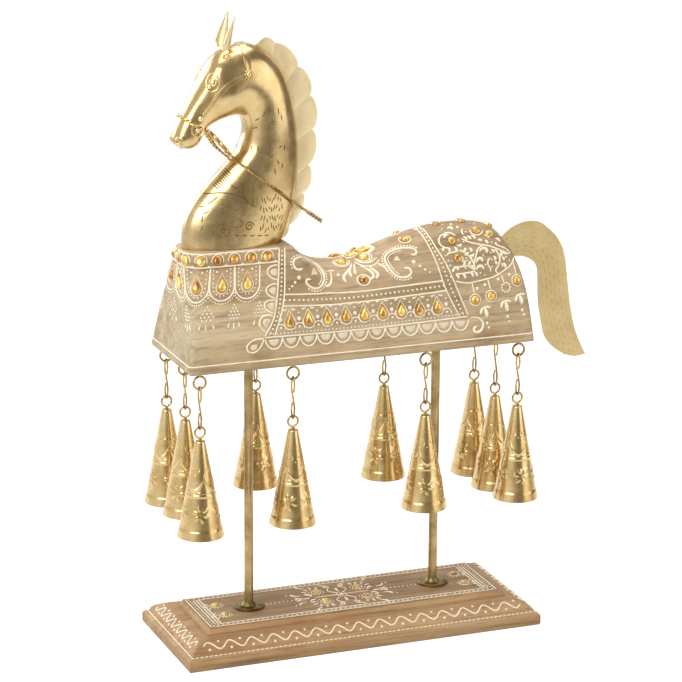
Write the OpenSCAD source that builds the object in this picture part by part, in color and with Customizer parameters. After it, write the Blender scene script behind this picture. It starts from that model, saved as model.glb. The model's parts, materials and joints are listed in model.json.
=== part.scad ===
// Painted wooden horse on two posts, with a sheet-brass head, mane and tail, and ten cone bells that swing.
// Millimetres. +Z is up, the head looks along -X, and the origin is the centre of the base's underside.

/* [Whole] */
// Height from the base's underside to the ear tips
total_h = 563.5; // [500:0.5:640]

/* [Base] */
// Length of the moulded base
base_len = 335; // [280:1:420]
// Width of the moulded base
base_wid = 134; // [116:1:180]
// Thickness of the lower slab
slab_h = 12; // [10:0.5:18]
// Rounding of the slab's edges
slab_round = 4; // [2:0.5:5]
// Width of the ledge on top of the slab
ledge_w = 5; // [4:0.5:8]
// Width of the rounded moulding
ovolo_w = 20; // [12:0.5:24]
// Height of the rounded moulding
ovolo_h = 10.5; // [6:0.5:16]
// Width of the small step beside the top panel
step_w = 4; // [2:0.5:6]
// Height of the top panel above the moulding
panel_rise = 5.5; // [3:0.5:9]

/* [Posts] */
// Diameter of each post
post_d = 8; // [6:0.5:12]
// Distance between the two posts
post_pitch = 178; // [150:1:200]
// Depth of the post in the base
post_foot = 16; // [8:0.5:18]
// Depth of the post in the body
post_head = 30; // [15:0.5:45]
// Diameter of the flange at the foot of a post
flange_d = 28; // [24:0.5:36]
// Thickness of the flange
flange_t = 2.2; // [1.5:0.1:4]
// Height of the weld collar on the flange
weld_h = 3; // [1:0.5:6]
// Screws in each flange
flange_screw_n = 3; // [2:1:4]
// Distance of the flange screws from the flange's edge
flange_screw_edge = 3.6; // [3:0.1:4.2]
// Shank diameter of the flange screws
screw_d = 2.4; // [1.6:0.1:3]
// Head diameter of the flange screws
screw_head_d = 4.6; // [3.6:0.1:5.4]
// Length of the flange screws under the head
screw_len = 12; // [8:0.5:18]

/* [Body] */
// Length of the body
body_len = 322; // [290:1:360]
// Height of the neck's seat above the underside
seat_h = 98.5; // [85:0.5:110]
// Height of the saddle's lowest point
saddle_h = 77.5; // [65:0.5:84]
// Height of the rump
rump_h = 101.5; // [94:0.5:114]
// Length of the rump's rounded end
rump_run = 60; // [45:1:75]
// How far the front leans back on its way up
front_rake = 8.5; // [4:0.5:14]
// How far the sides swell at half height
side_swell = 2.5; // [0:0.5:4]
// Rounding of the lower edges
lip = 2; // [1:0.5:5]
// Wood left around the neck on its seat
shoulder = 3; // [2:0.5:5]
// Corner rounding at the underside
corner_low = 2.5; // [1.5:0.5:6]
// Corner rounding at the neck's seat
corner_high = 19; // [10:0.5:22]
// Depth of the rounded crown over the back
crown_h = 36; // [24:1:44]
// Rounding where the rump's sides meet its end
rump_edge = 16; // [8:1:24]

/* [Neck and head] */
// Wall of the brass sheet
sheet = 1; // [0.7:0.1:1.5]
// Clearance between the neck and the wooden plug in it
plug_gap = 0.3; // [0.2:0.05:0.6]
// Diameter of the dowel that fixes the plug
dowel_d = 16; // [10:0.5:20]
// Depth of the dowel in the body
dowel_deep = 30; // [15:0.5:45]
// Depth of the dowel in the plug
dowel_up = 11; // [6:0.5:12]
// Thickness of the mane's sheet
mane_t = 1; // [0.7:0.1:1.5]
// How far the mane's lobes swell
lobe_swell = 4; // [3:0.5:6]
// Height of the ear tips above the neck's seat
head_rise = 201; // [196:0.5:210]
// Width of the ears
ear_w = 8.5; // [7:0.5:11]
// Width of the headstall's straps
strap_w = 5; // [3:0.5:7]
// Thickness of the headstall's straps
strap_t = 0.8; // [0.5:0.1:1.4]
// Diameter of the eyes
eye_d = 8.5; // [6:0.5:11]
// Wire diameter of the ring round each eye
eye_ring_wire = 1.6; // [1:0.1:2.2]
// Diameter of the headstall's rosettes
rosette_d = 8; // [6:0.5:10]
// Diameter of the bit's studs
bit_d = 5.5; // [4:0.5:7]
// Wire diameter of the reins
rein_d = 2; // [1.4:0.1:2.2]

/* [Tail] */
// Thickness of the tail's sheet
tail_t = 1; // [0.7:0.1:1.5]
// Depth of the tail in the rump
tail_deep = 10; // [6:0.5:16]

/* [Screw eyes] */
// Radius of the eye to the middle of its wire
eye_r = 5.5; // [4.6:0.1:6.5]
// Wire diameter of the eye
eye_wire = 2; // [1.6:0.1:2.4]
// Free neck between the eye and the wood
eye_neck = 2; // [1:0.5:4]
// Diameter of the threaded shank
shank_d = 2.6; // [2:0.1:3.4]
// Length of the shank in the wood
shank_len = 14; // [8:0.5:22]
// Distance from the outer eyes to the body's sides
eye_edge = 8.5; // [7:0.5:14]
// Distance from the front row of eyes to the body's front
front_inset = 11.5; // [9:0.5:16]
// Distance from the rear row of eyes to the body's rear
rear_inset = 13; // [9:0.5:16]
// Place of the front pair along the body
front_pair_x = -65; // [-72:0.5:-50]
// Place of the rear pair along the body
rear_pair_x = 58; // [45:0.5:68]

/* [S-hooks] */
// Wire diameter of the hooks
hook_wire = 1.5; // [1.2:0.1:1.7]
// Bend radius of the hooks to the middle of the wire
hook_r = 2.1; // [2:0.05:2.6]
// Distance between the hook's two bends
hook_drop = 36; // [28:0.5:44]
// Play between the hooks and what hangs in them
hook_gap = 0.3; // [0.2:0.05:0.4]

/* [Bells] */
// Height of the cone
bell_h = 85; // [70:1:100]
// Radius of the mouth
bell_r = 21; // [17:0.5:24]
// Radius of the closed top
bell_top_r = 4.8; // [4.6:0.1:6]
// Wall of the cone
bell_wall = 0.9; // [0.7:0.1:1.3]
// Thickness of the closed top
bell_top_t = 1.2; // [0.8:0.1:2]
// Height of the rim band
band_h = 8; // [5:0.5:12]
// How far the rim band and the middle bead stand out
band_out = 0.4; // [0.2:0.1:0.6]
// Height of the middle bead above the mouth
bead_up = 38; // [25:1:50]
// Width of the middle bead
bead_w = 2; // [1:0.5:4]
// Gap between neighbours in a row of bells
bell_gap = 3.5; // [3:0.5:8]
// Radius of the top loop to the middle of its wire
loop_r = 4.6; // [4:0.1:5.6]
// Wire diameter of the top loop
loop_wire = 1.8; // [1.4:0.1:1.8]
// Length of the stem between the loop and the cone
stem_len = 2; // [1:0.5:4]
// Diameter of the stem
stem_d = 2.2; // [1.6:0.1:2.6]

/* [Clappers] */
// Wire diameter of the inner eye
inner_wire = 1.4; // [1:0.1:1.6]
// Radius of the inner eye to the middle of its wire
inner_r = 2.4; // [2.2:0.1:2.6]
// Wire diameter of the clapper's eye
clap_wire = 1.2; // [1:0.1:1.4]
// Radius of the clapper's eye to the middle of its wire
clap_r = 2.2; // [2:0.1:2.4]
// Diameter of the clapper's rod
clap_rod = 2.4; // [1.6:0.1:3]
// Diameter of the clapper's ball
clap_ball = 8; // [6:0.5:9]
// Distance of the ball's middle above the mouth
clap_up = 15; // [10:0.5:25]

/* [Stones] */
// Diameter of the round collar stones
collar_stone = 8; // [6:0.5:9]
// Width of the drop stones
drop_w = 8; // [6:0.2:9]
// Length of the drop stones
drop_l = 12.6; // [10:0.2:14]
// Height of the drop stones
drop_h = 3; // [2:0.1:4]
// Diameter of the round stones on the saddle and the rump
round_stone = 7.5; // [5:0.5:9]
// Diameter of the stones on the base
base_stone = 6.5; // [4:0.5:7]
// Height of the round stones
stone_h = 2.4; // [1.5:0.1:3]
// Gap between the collar's round stones
collar_pitch = 15; // [13:0.5:17]
// Gap between the collar's drops
collar_drop_pitch = 23; // [18:0.5:26]
// Gap between the blanket's drops
blanket_pitch = 17.2; // [14:0.2:18]
// Distance of the collar's round stones below the neck's seat
collar_round_low = 6.5; // [5.5:0.5:9]
// Distance of the collar's drops below the neck's seat
collar_drop_low = 28; // [25:0.5:34]
// Height of the blanket's drops above the underside
blanket_z = 36; // [30:0.5:42]
// Height of the rump's hanging stones above the underside
hanger_z = 40.5; // [32:0.5:48]
// Half of the base stones' distance along the middle
base_stone_run = 20; // [14:0.5:30]
// Half of the base stones' distance across the base
base_stone_side = 12; // [8:0.5:18]
// Distance of the outer base stones from the posts
base_stone_end = 27; // [20:0.5:32]

/* [Hidden] */
$fn = 32;
// Clearance of posts, shanks and dowels in their bores
fit = 0.05;
// Clearance under studs, straps and stones that sit on a curved face
seat_gap = 0.2;
// Half of the gap in the seam of the head
seam = 0.03;
// Gap between the mane and the neck's ridge
ridge_gap = 0.15;

base_h = slab_h + ovolo_h + panel_rise;
// Free height between the base and the body
post_rise = total_h - head_rise - seat_h - base_h;
panel_in = ledge_w + ovolo_w + step_w;
body_z = base_h + post_rise;
row_pitch = 2 * bell_r + bell_gap;
body_wid = 2 * (row_pitch + eye_edge);
front_x = -body_len / 2;
rear_x = body_len / 2;
rump_x = rear_x - rump_run;
// How square the rump's rounded end is: 2 would be an ellipse
RUMP_FULL = 3.4;

// Stations of the neck and head, from the seat to the muzzle, in the neck's own frame:
// throat side x and z, crest side x and z, half width
HEAD = [
  [-45, 0, 45, 0, 20],
  [-44, 16, 49.5, 8, 20],
  [-37.5, 33.5, 55, 25, 20],
  [-23, 52.5, 59, 48, 20],
  [-7, 69, 60, 79, 20],
  [4.5, 81.5, 58, 106, 20],
  [9, 91.5, 52.5, 133, 20],
  [11, 100, 43, 154, 20],
  [10.5, 106.5, 27.5, 169, 20.5],
  [8.5, 111, 12, 175, 21],
  [5.5, 113, -3, 172, 21.5],
  [1, 113.5, -16, 165, 21.5],
  [-5.5, 112.5, -25, 152.5, 20],
  [-13.5, 110, -34.5, 135.5, 16.5],
  [-21.5, 105.5, -41.5, 122.5, 14],
  [-26, 98.5, -48, 111, 13],
  [-30.5, 91.5, -51.5, 102, 12.5],
  [-37, 88, -53, 96, 11],
  [-43, 88, -52, 92.5, 8],
  [-46, 89.5, -50, 91.5, 4]];
HEAD_END = len(HEAD) - 1;
NOSEBAND_AT = 14.6;

neck_half = HEAD[0][2];
neck_w = HEAD[0][4];
neck_x = front_x + front_rake + shoulder + neck_half;
neck_z = body_z + seat_h;
seat_end = neck_x + neck_half + shoulder;
seat_w = neck_w + shoulder;
saddle_x = seat_end + 46;

// Valleys between the mane's lobes, in the neck's frame
MANE = [[5, 176], [17.5, 177], [40, 173.5], [61, 152], [72.5, 126], [75, 96], [71, 65], [66.5, 40.5],
  [53, 13], [46.5, 2]];
MANE_TOP = 9.42;
MANE_END = 0.2;
// A lobe shorter than this swells less
LOBE_FULL = 26;

// Tail outline from the rump's end and the body's underside
TAIL_TOP = [[-11, 83.5], [-1, 91], [9, 95], [19, 96], [28, 94], [34, 89.5], [42, 82.5], [47.5, 75], [51, 68],
  [54, 56], [56.5, 37], [60, 13], [66, -11], [76.5, -33.5]];
TAIL_LOW = [[66, -34.5], [55.5, -31.5], [43.5, -23.5], [35, -13], [31, 2], [27.5, 21], [26.5, 44],
  [25, 54], [20, 60], [12, 64], [4, 65], [-8, 64.5]];
tail_low_z = 64;
tail_high_z = 83.5;

// Route of the near rein in the neck's frame
REIN = [[-24.8, -10.2, 104.5], [-14, -17, 91.5], [-7, -20, 82.5], [7, -22.5, 70], [25, -23, 56.5],
  [44, -19.5, 43], [57.5, -8.5, 32.5], [65, -1.6, 27], [70, -1.3, 23.4]];
rein_end_x = 70.6;
rein_end_z = 23;
rein_end_len = 15.5;
rein_end_tilt = 36;

// Places of the ten bells: front row, front pair, rear pair, rear row. The eyes were set by eye and the
// hooks bent by hand, so each place is a little off along the body and each hook a little longer or shorter.
front_row_x = front_x + front_inset;
rear_row_x = rear_x - rear_inset;
OFF_X = [0, 2, 0, 0.5, -1, 2, 0, 1, 0, -0.5];
HANG = [-2, -7, -4, -3, -10, -3, -4, -2, 2, 2];
BELLS = [
  [front_row_x + OFF_X[0], -row_pitch], [front_row_x + OFF_X[1], 0], [front_row_x + OFF_X[2], row_pitch],
  [front_pair_x + OFF_X[3], -row_pitch], [front_pair_x + OFF_X[4], row_pitch],
  [rear_pair_x + OFF_X[5], -row_pitch], [rear_pair_x + OFF_X[6], row_pitch],
  [rear_row_x + OFF_X[7], -row_pitch], [rear_row_x + OFF_X[8], 0], [rear_row_x + OFF_X[9], row_pitch]];

// Heights of the hanging parts under the body
eye_mid_z = body_z - eye_neck - eye_wire / 2 - eye_r;
eye_low_z = eye_mid_z - eye_r;
hook_top_z = eye_low_z + eye_wire / 2 + hook_gap - (hook_r - hook_wire / 2);
hook_low_z = hook_top_z - hook_drop;
loop_top_z = hook_low_z - (hook_r - hook_wire / 2) + hook_gap + loop_wire / 2;
bell_top_z = loop_top_z - 2 * loop_r - loop_wire / 2 - stem_len;
bell_low_z = bell_top_z - bell_h;
keeper_h = 1.2;
keeper_r = stem_d / 2 + 1.1;
inner_mid_z = bell_top_z - bell_top_t - fit - keeper_h - inner_wire / 2 - inner_r;
inner_low_z = inner_mid_z - inner_r;
clap_mid_z = inner_low_z + inner_wire / 2 + hook_gap + clap_wire / 2 - clap_r;
clap_ball_z = bell_low_z + clap_up;

brass = "#b39a57";
wood = "#b39a74";
amber = "#d08a1e";

function unit(v) = v / norm(v);
function mix(a, b, t) = a + (b - a) * t;
function ease(t) = let (s = max(0, min(1, t))) s * s * (3 - 2 * s);
function flip(p) = [for (i = [len(p) - 1:-1:0]) p[i]];

// Smooth curve through a list of points
function curve(p, i, t) =
  let (a = p[max(i - 1, 0)], b = p[i], c = p[min(i + 1, len(p) - 1)], d = p[min(i + 2, len(p) - 1)])
  0.5 * (2 * b + (c - a) * t + (2 * a - 5 * b + 4 * c - d) * t * t + (3 * b - a - 3 * c + d) * t * t * t);
function at(p, u) = let (i = max(0, min(floor(u), len(p) - 2))) curve(p, i, u - i);
function smooth(p, n) = [for (k = [0:n * (len(p) - 1)]) at(p, k / n)];

// Side outline of the body, measured up from its underside
function front_at(z) = front_x + front_rake * (z - lip) / (seat_h - shoulder - lip);
function rump_curve(f) = pow(max(0, 1 - pow(max(0, f), RUMP_FULL)), 1 / RUMP_FULL);
function rear_at(z) = rump_x + rump_run * rump_curve((z - lip) / (rump_h - lip));
function top_z(x) =
  x < front_x + front_rake ? lip + (seat_h - shoulder - lip) * (x - front_x) / front_rake :
  x < front_x + front_rake + shoulder ?
    let (s = 1 - (x - front_x - front_rake) / shoulder) seat_h - shoulder * (1 - sqrt(max(0, 1 - s * s))) :
  x < seat_end ? seat_h :
  x < saddle_x ? mix(seat_h, saddle_h, 1 - pow(1 - (x - seat_end) / (saddle_x - seat_end), 2.4)) :
  x < rump_x ? mix(saddle_h, rump_h, (1 - cos(180 * pow((x - saddle_x) / (rump_x - saddle_x), 0.85))) / 2) :
  lip + (rump_h - lip) * rump_curve((x - rump_x) / rump_run);
function low_z(x) =
  let (s = max(0, 1 - min(x - front_x, rear_x - x) / lip)) lip * (1 - sqrt(max(0, 1 - s * s)));

// Half width of the body at a height, with its lower lip and its rounded corners
function side_w(z) =
  let (s = max(0, 1 - z / lip))
  mix(body_wid / 2, seat_w, z / seat_h) + side_swell * sin(180 * z / seat_h)
  - lip * (1 - sqrt(max(0, 1 - s * s)));
function corner_r(z) = mix(corner_low, corner_high, max(0, min(1, z / seat_h)));
function corner_cut(s, r) = s >= r ? 0 : r * (1 - sqrt(max(0, 1 - pow(1 - max(s, 0) / r, 2))));
function body_w(x, z) =
  side_w(z) - corner_cut(x - front_at(z), corner_r(z)) - corner_cut(rear_at(z) - x, corner_r(z));
function back_mix(x) = ease((x - seat_end + 6) / 34);
function rear_mix(x) = ease((x - rump_x) / rump_run);
function crown_drop(x) =
  min(mix(mix(shoulder, crown_h, back_mix(x)), rump_edge, rear_mix(x)), 0.8 * (top_z(x) - low_z(x)));
function crown_run(x, z) = let (w = max(shoulder, body_w(x, z) - 1.5))
  mix(mix(shoulder, w, back_mix(x)), min(rump_edge, w), rear_mix(x));
function crown_pt(x, a) =
  let (c = crown_drop(x), z = top_z(x) - c + c * pow(sin(a), 0.85))
  [x, -max(1.5, body_w(x, z) - crown_run(x, z) * (1 - pow(cos(a), 0.85))), z];
function side_pt(x, z) = [x, -body_w(x, z), z];

// Outward directions on the near side
function side_dir(x, z) = unit(cross(side_pt(x + 0.5, z) - side_pt(x - 0.5, z),
  side_pt(x, z + 0.5) - side_pt(x, z - 0.5)));
function crown_dir(x, a) = unit(cross(crown_pt(x + 0.5, a) - crown_pt(x - 0.5, a),
  crown_pt(x, a + 1) - crown_pt(x, a - 1)));

// Collar round the neck's seat: p runs from the middle of the front to the near side
function collar_frame(p, z) =
  let (r = corner_r(z), w = side_w(z), f = w - r, x0 = front_at(z), q = abs(p), g = p < 0 ? 1 : -1,
    bend = r * PI / 2, a = q < f ? 0 : q < f + bend ? (q - f) / r * 180 / PI : 90,
    x = q < f ? x0 : q < f + bend ? x0 + r - r * cos(a) : x0 + r + q - f - bend,
    y = q < f ? q : q < f + bend ? f + r * sin(a) : w,
    swell = side_swell * PI * cos(180 * z / seat_h),
    lean = mix(front_rake, body_wid / 2 - seat_w - swell, a / 90) / seat_h)
  [[x, g * y, z], unit([-cos(a), g * sin(a), lean])];

// Body as a loft of upright cross-sections
body_xs = concat(
  [front_x + 0.3], [for (f = [0.15, 0.3, 0.45, 0.6, 0.8, 1]) front_x + front_rake * f],
  [for (f = [0.15, 0.4, 1]) front_x + front_rake + shoulder * f],
  [for (d = [4, 9, 15, 30, 48, 66, 84]) front_x + front_rake + shoulder + d],
  [for (k = [0:9]) mix(seat_end, saddle_x, k / 10)],
  [for (k = [0:10]) mix(saddle_x, rump_x, k / 11)],
  [for (a = [0, 10, 20, 30, 39, 48, 56, 63, 69, 74, 78, 82]) rump_x + rump_run * sin(a)],
  [rear_x - 0.3]);
SIDE_N = 8;
CROWN_N = 8;
function half_ring(x) =
  let (t = top_z(x), b = low_z(x), c = crown_drop(x))
  concat([for (k = [0:SIDE_N - 1]) side_pt(x, b + (t - c - b) * pow(k / SIDE_N, 1.3))],
    [for (k = [0:CROWN_N]) crown_pt(x, 90 * k / CROWN_N)]);
function mirror_y(p) = [for (q = p) [q[0], -q[1], q[2]]];

// Loft: rings of equal length, joined in order and capped at both ends, or joined round into a loop
module loft(rings, loop = false) {
  n = len(rings[0]);
  m = len(rings);
  points = [for (r = rings) for (p = r) p];
  sides = [for (i = [0:loop ? m - 1 : m - 2]) for (j = [0:n - 1])
    let (k = (j + 1) % n, a = i * n, b = ((i + 1) % m) * n)
    for (f = [[a + j, b + k, b + j], [a + j, a + k, b + k]]) f];
  caps = loop ? [] : [[for (j = [n - 1:-1:0]) j], [for (j = [0:n - 1]) (m - 1) * n + j]];
  polyhedron(points, concat(sides, caps));
}

// A point on the neck and head: a is 0 on the throat side, 90 on the near side and 180 on the crest
function head_pt(u, a, out = 0) =
  let (s = at(HEAD, u), mid = [s[0] + s[2], s[1] + s[3]] / 2, d = [s[2] - s[0], s[3] - s[1]],
    l = norm(d) / 2 + out, e = unit(d))
  [mid[0] - e[0] * l * cos(a), -(s[4] + out) * sin(a), mid[1] - e[1] * l * cos(a)];
function head_dir(u, a) =
  let (n = unit(cross(head_pt(u + 0.05, a) - head_pt(u - 0.05, a), head_pt(u, a + 1) - head_pt(u, a - 1))),
    s = at(HEAD, u), mid = [(s[0] + s[2]) / 2, 0, (s[1] + s[3]) / 2])
  (head_pt(u, a) - mid) * n < 0 ? -n : n;

module in_neck() { translate([neck_x, 0, neck_z]) children(); }
module in_body() { translate([0, 0, body_z]) children(); }

// Turns a piece's +Z along n and sets it at p; its +Y then points up the face
module face_on(p, n, turn = 0) {
  translate(p) rotate([0, 0, atan2(n[1], n[0])]) rotate([0, acos(n[2]), 0])
    rotate([0, 0, turn + 90]) children();
}

// Strap along a route of [u, a] points on the head
module head_strap(route, width, n, loop = false) {
  m = loop ? n - 1 : n;
  spot = [for (k = [0:m]) at(route, (len(route) - 1) * k / n)];
  p = [for (q = spot) head_pt(q[0], q[1])];
  d = [for (q = spot) head_dir(q[0], q[1])];
  t = [for (k = [0:m])
    unit(loop ? p[(k + 1) % n] - p[(k + n - 1) % n] : p[min(k + 1, n)] - p[max(k - 1, 0)])];
  loft([for (k = [0:m]) let (b = unit(cross(d[k], t[k])) * width / 2, o = p[k] + d[k] * seat_gap)
    [o + b, o - b, o - b + d[k] * strap_t, o + b + d[k] * strap_t]], loop);
}

module ring(r, wire) { rotate_extrude() translate([r, 0]) circle(d = wire); }
module arc(r, wire, from, sweep) {
  rotate([0, 0, from]) rotate_extrude(angle = sweep) translate([r, 0]) circle(d = wire);
}

// Low dome: a round stone or a stud
module dome(d, h) {
  big = (d * d / 4 + h * h) / (2 * h);
  intersection() {
    translate([0, 0, h - big]) sphere(big);
    cylinder(d = d + 1, h = h + 1);
  }
}

// Drop stone: round below, pointed above, domed over a flat back
function drop_rim(r, tip) =
  let (a = acos(r / tip), n = 15)
  concat([for (k = [0:n]) let (b = 90 - a - (360 - 2 * a) * k / n) r * [cos(b), sin(b)]], [[0, tip]]);
module drop(w, l, h) {
  rim = drop_rim(w / 2, l - w / 2);
  top = 78;
  loft([for (t = [0, 24, 46, 64, top])
    [for (p = rim) [p[0] * cos(t), p[1] * cos(t), h * sin(t) / sin(top)]]]);
}

// Profile of the moulded base across half its width, from the bottom edge up to the panel
function base_side(half) = concat(
  [for (a = [0:30:90]) [half - slab_round / 2 + slab_round / 2 * sin(a), slab_round / 2 * (1 - cos(a))]],
  [for (a = [0:15:90]) [half - slab_round * (1 - cos(a)), slab_h - slab_round * (1 - sin(a))]],
  [for (a = [8:8.2:90]) [half - ledge_w - ovolo_w * (1 - cos(a)), slab_h + ovolo_h * sin(a)]],
  [for (a = [0:30:90]) [half - ledge_w - ovolo_w - step_w * sin(a), base_h - panel_rise * 0.75 * cos(a)]]);
module base_section(half) {
  right = base_side(half);
  polygon(concat(right, [for (p = flip(right)) [-p[0], p[1]]]));
}

module base_board() {
  color(wood) difference() {
    intersection() {
      rotate([90, 0, 0]) translate([0, 0, -base_wid / 2 - 1]) linear_extrude(base_wid + 2)
        base_section(base_len / 2);
      rotate([90, 0, 90]) translate([0, 0, -base_len / 2 - 1]) linear_extrude(base_len + 2)
        base_section(base_wid / 2);
    }
    for (s = [-1, 1]) translate([s * post_pitch / 2, 0, 0]) {
      translate([0, 0, base_h - post_foot]) cylinder(d = post_d + 2 * fit, h = post_foot + 1);
      flange_holes() translate([0, 0, base_h - (screw_len - flange_t)])
        cylinder(d = screw_d + 2 * fit, h = screw_len);
    }
  }
}

module flange_holes() {
  for (k = [0:flange_screw_n - 1]) rotate([0, 0, 90 + 360 * k / flange_screw_n])
    translate([flange_d / 2 - flange_screw_edge, 0, 0]) children();
}

module post(s) {
  color(brass) translate([s * post_pitch / 2, 0, base_h - post_foot])
    cylinder(d = post_d, h = post_foot + post_rise + post_head);
}
module front_post() { post(-1); }
module rear_post() { post(1); }

module flange(s) {
  hole = post_d / 2 + fit;
  weld = post_d / 2 + weld_h * 0.9;
  color(brass) translate([s * post_pitch / 2, 0, base_h]) difference() {
    rotate_extrude() polygon([[hole, 0], [flange_d / 2, 0], [flange_d / 2, flange_t * 0.7],
      [flange_d / 2 - flange_t * 0.3, flange_t], [weld, flange_t], [hole + 0.6, flange_t + weld_h],
      [hole, flange_t + weld_h]]);
    flange_holes() translate([0, 0, -1]) cylinder(d = screw_d + 2 * fit, h = flange_t + 2);
  }
}
module front_flange() { flange(-1); }
module rear_flange() { flange(1); }

module flange_screws() {
  color("#8d8268") for (s = [-1, 1]) translate([s * post_pitch / 2, 0, base_h + flange_t]) flange_holes() {
    translate([0, 0, -screw_len]) cylinder(d = screw_d, h = screw_len);
    dome(screw_head_d, 1.3);
  }
}

module horse_body() {
  color(wood) in_body() difference() {
    loft([for (x = body_xs) let (h = half_ring(x)) concat(h, flip(mirror_y(h)))]);
    for (s = [-1, 1]) translate([s * post_pitch / 2, 0, -1])
      cylinder(d = post_d + 2 * fit, h = post_head + 1 + fit);
    for (b = BELLS) translate([b[0], b[1], -1]) cylinder(d = shank_d + 2 * fit, h = shank_len + 1 + fit);
    translate([neck_x, 0, seat_h - dowel_deep - fit]) cylinder(d = dowel_d + 2 * fit, h = dowel_deep + 5);
    translate([tail_in, -tail_t / 2 - fit, tail_low_z - fit])
      cube([rump_run, tail_t + 2 * fit, tail_high_z - tail_low_z + 2 * fit]);
  }
}
tail_in = min(rear_at(tail_low_z), rear_at(tail_high_z)) - tail_deep;

module neck_plug() {
  color("#a98a5c") in_neck() difference() {
    loft([for (u = [0:0.2:1.2]) [for (a = [345:-15:0]) head_pt(u, a, -sheet - plug_gap)]]);
    translate([0, 0, -1]) cylinder(d = dowel_d + 2 * fit, h = dowel_up + 1 + fit);
  }
}

module neck_dowel() {
  color("#a98a5c") in_neck() translate([0, 0, -dowel_deep]) cylinder(d = dowel_d, h = dowel_deep + dowel_up);
}

// One half of the brass neck and head: outer skin, inner skin, seam and closed muzzle
HALF_U = [for (k = [0:2 * HEAD_END]) k / 2];
HALF_A = [for (a = [0:15:180]) a];
function skin(out, end) =
  [for (u = HALF_U) for (a = HALF_A) let (p = head_pt(u * end, a, out)) [p[0], p[1] - seam, p[2]]];
module shell_half() {
  n = len(HALF_A);
  m = len(HALF_U);
  o = n * m;
  e = (m - 1) * n;
  outer = skin(0, 1);
  inner = skin(-sheet, 0.975);
  faces = concat(
    [for (i = [0:m - 2]) for (j = [0:n - 2]) let (a = i * n + j, b = a + 1, c = a + n, d = c + 1)
      for (f = [[a, c, d], [a, d, b], [o + a, o + d, o + c], [o + a, o + b, o + d]]) f],
    [for (i = [0:m - 2]) let (a = i * n, c = a + n) for (f = [[a, o + c, c], [a, o + a, o + c]]) f],
    [for (i = [0:m - 2]) let (a = i * n + n - 1, c = a + n) for (f = [[a, c, o + c], [a, o + c, o + a]]) f],
    [for (j = [0:n - 2]) for (f = [[j, o + j + 1, o + j], [j, j + 1, o + j + 1]]) f],
    [[for (j = [n - 1:-1:0]) e + j], [for (j = [0:n - 1]) o + e + j]],
    [[e, o + e + n - 1, e + n - 1], [e, o + e, o + e + n - 1]]);
  polyhedron(concat(outer, inner), faces);
}
module neck_shell_left() { color(brass) in_neck() mirror([0, 1, 0]) shell_half(); }
module neck_shell_right() { color(brass) in_neck() shell_half(); }

// Edge of one lobe, swelling outward between two valleys
function lobe(a, b) = let (d = b - a, out = unit([-d[1], d[0]]))
  [for (k = [0:7]) let (t = k / 8, full = min(1, norm(d) / LOBE_FULL))
    a + d * t + out * lobe_swell * full * 4 * t * (1 - t)];
module mane_plate() {
  rim = [for (k = [0:len(MANE) - 2]) for (p = lobe(MANE[k], MANE[k + 1])) p];
  ridge = [for (k = [0:40]) let (p = head_pt(mix(MANE_END, MANE_TOP, k / 40), 180, ridge_gap)) [p[0], p[2]]];
  color(brass) in_neck() rotate([90, 0, 0]) translate([0, 0, -mane_t / 2]) linear_extrude(mane_t)
    polygon(concat(rim, [MANE[len(MANE) - 1]], ridge));
}

// Rolled leaf ear, standing on the poll with its hollow side inward
EAR_U = 10.25;
EAR_A = 160;
ear_lift = 2.6;
module ear() {
  root = head_pt(EAR_U, EAR_A) + head_dir(EAR_U, EAR_A) * ear_lift;
  rise = unit([0.18, -0.03, 1]);
  ear_h = (head_rise - root[2]) / rise[2];
  wide = unit([1, -0.3, -0.15]);
  fore = cross(rise, wide);
  rings = [for (k = [0:9])
    let (t = k / 9, w = ear_w / 2 * max(0.14, 0.8 + 0.6 * t - 1.4 * t * t), o = root + rise * ear_h * t)
    concat([for (s = [80:-20:-80]) o + wide * w * sin(s) + fore * w * 0.9 * (1 - cos(s))],
      [for (s = [-80:20:80]) o + wide * w * sin(s) + fore * (w * 0.9 * (1 - cos(s)) + sheet)])];
  loft(rings);
}
module right_ear() { color(brass) in_neck() ear(); }
module left_ear() { color(brass) in_neck() mirror([0, 1, 0]) ear(); }

module on_head(u, a, turn = 0) {
  face_on(head_pt(u, a) + head_dir(u, a) * seat_gap, head_dir(u, a), turn) children();
}
module both_sides() {
  children();
  mirror([0, 1, 0]) children();
}

module eye_studs() {
  color(brass) in_neck() both_sides() on_head(12, 128) {
    dome(eye_d, 3);
    translate([0, 0, eye_ring_wire / 2]) ring(eye_d / 2 + eye_ring_wire / 2 + 0.3, eye_ring_wire);
  }
}

module headstall() {
  color(brass) in_neck() {
    head_strap([[9.2, 116], [9.6, 145], [9.78, 180], [9.6, 215], [9.2, 244]], strap_w, 16);
    both_sides() head_strap([[9.75, 103], [11, 100], [12.5, 96], [13.55, 93]], strap_w * 0.8, 12);
  }
}

module noseband() {
  color(brass) in_neck() head_strap([for (a = [0:30:360]) [NOSEBAND_AT, a]], strap_w * 0.8, 36, true);
}

module rosettes() {
  color(brass) in_neck() both_sides() {
    on_head(9.15, 105) dome(rosette_d, 3);
    on_head(13.95, 92) dome(rosette_d * 0.6, 2.4);
    on_head(15.4, 88) dome(bit_d, 3);
    on_head(10.5, 125) dome(rosette_d * 0.6, 2);
  }
}

// Tube of one wire along a smooth route
module wire(route, d, n, sides = 8) {
  p = smooth(route, n);
  m = len(p) - 1;
  loft([for (k = [0:m])
    let (t = unit(p[min(k + 1, m)] - p[max(k - 1, 0)]), b = unit(cross(t, [0.3, 1, 0])), c = cross(b, t))
    [for (j = [0:sides - 1]) p[k] + (b * cos(360 * j / sides) + c * sin(360 * j / sides)) * d / 2]]);
}
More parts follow.
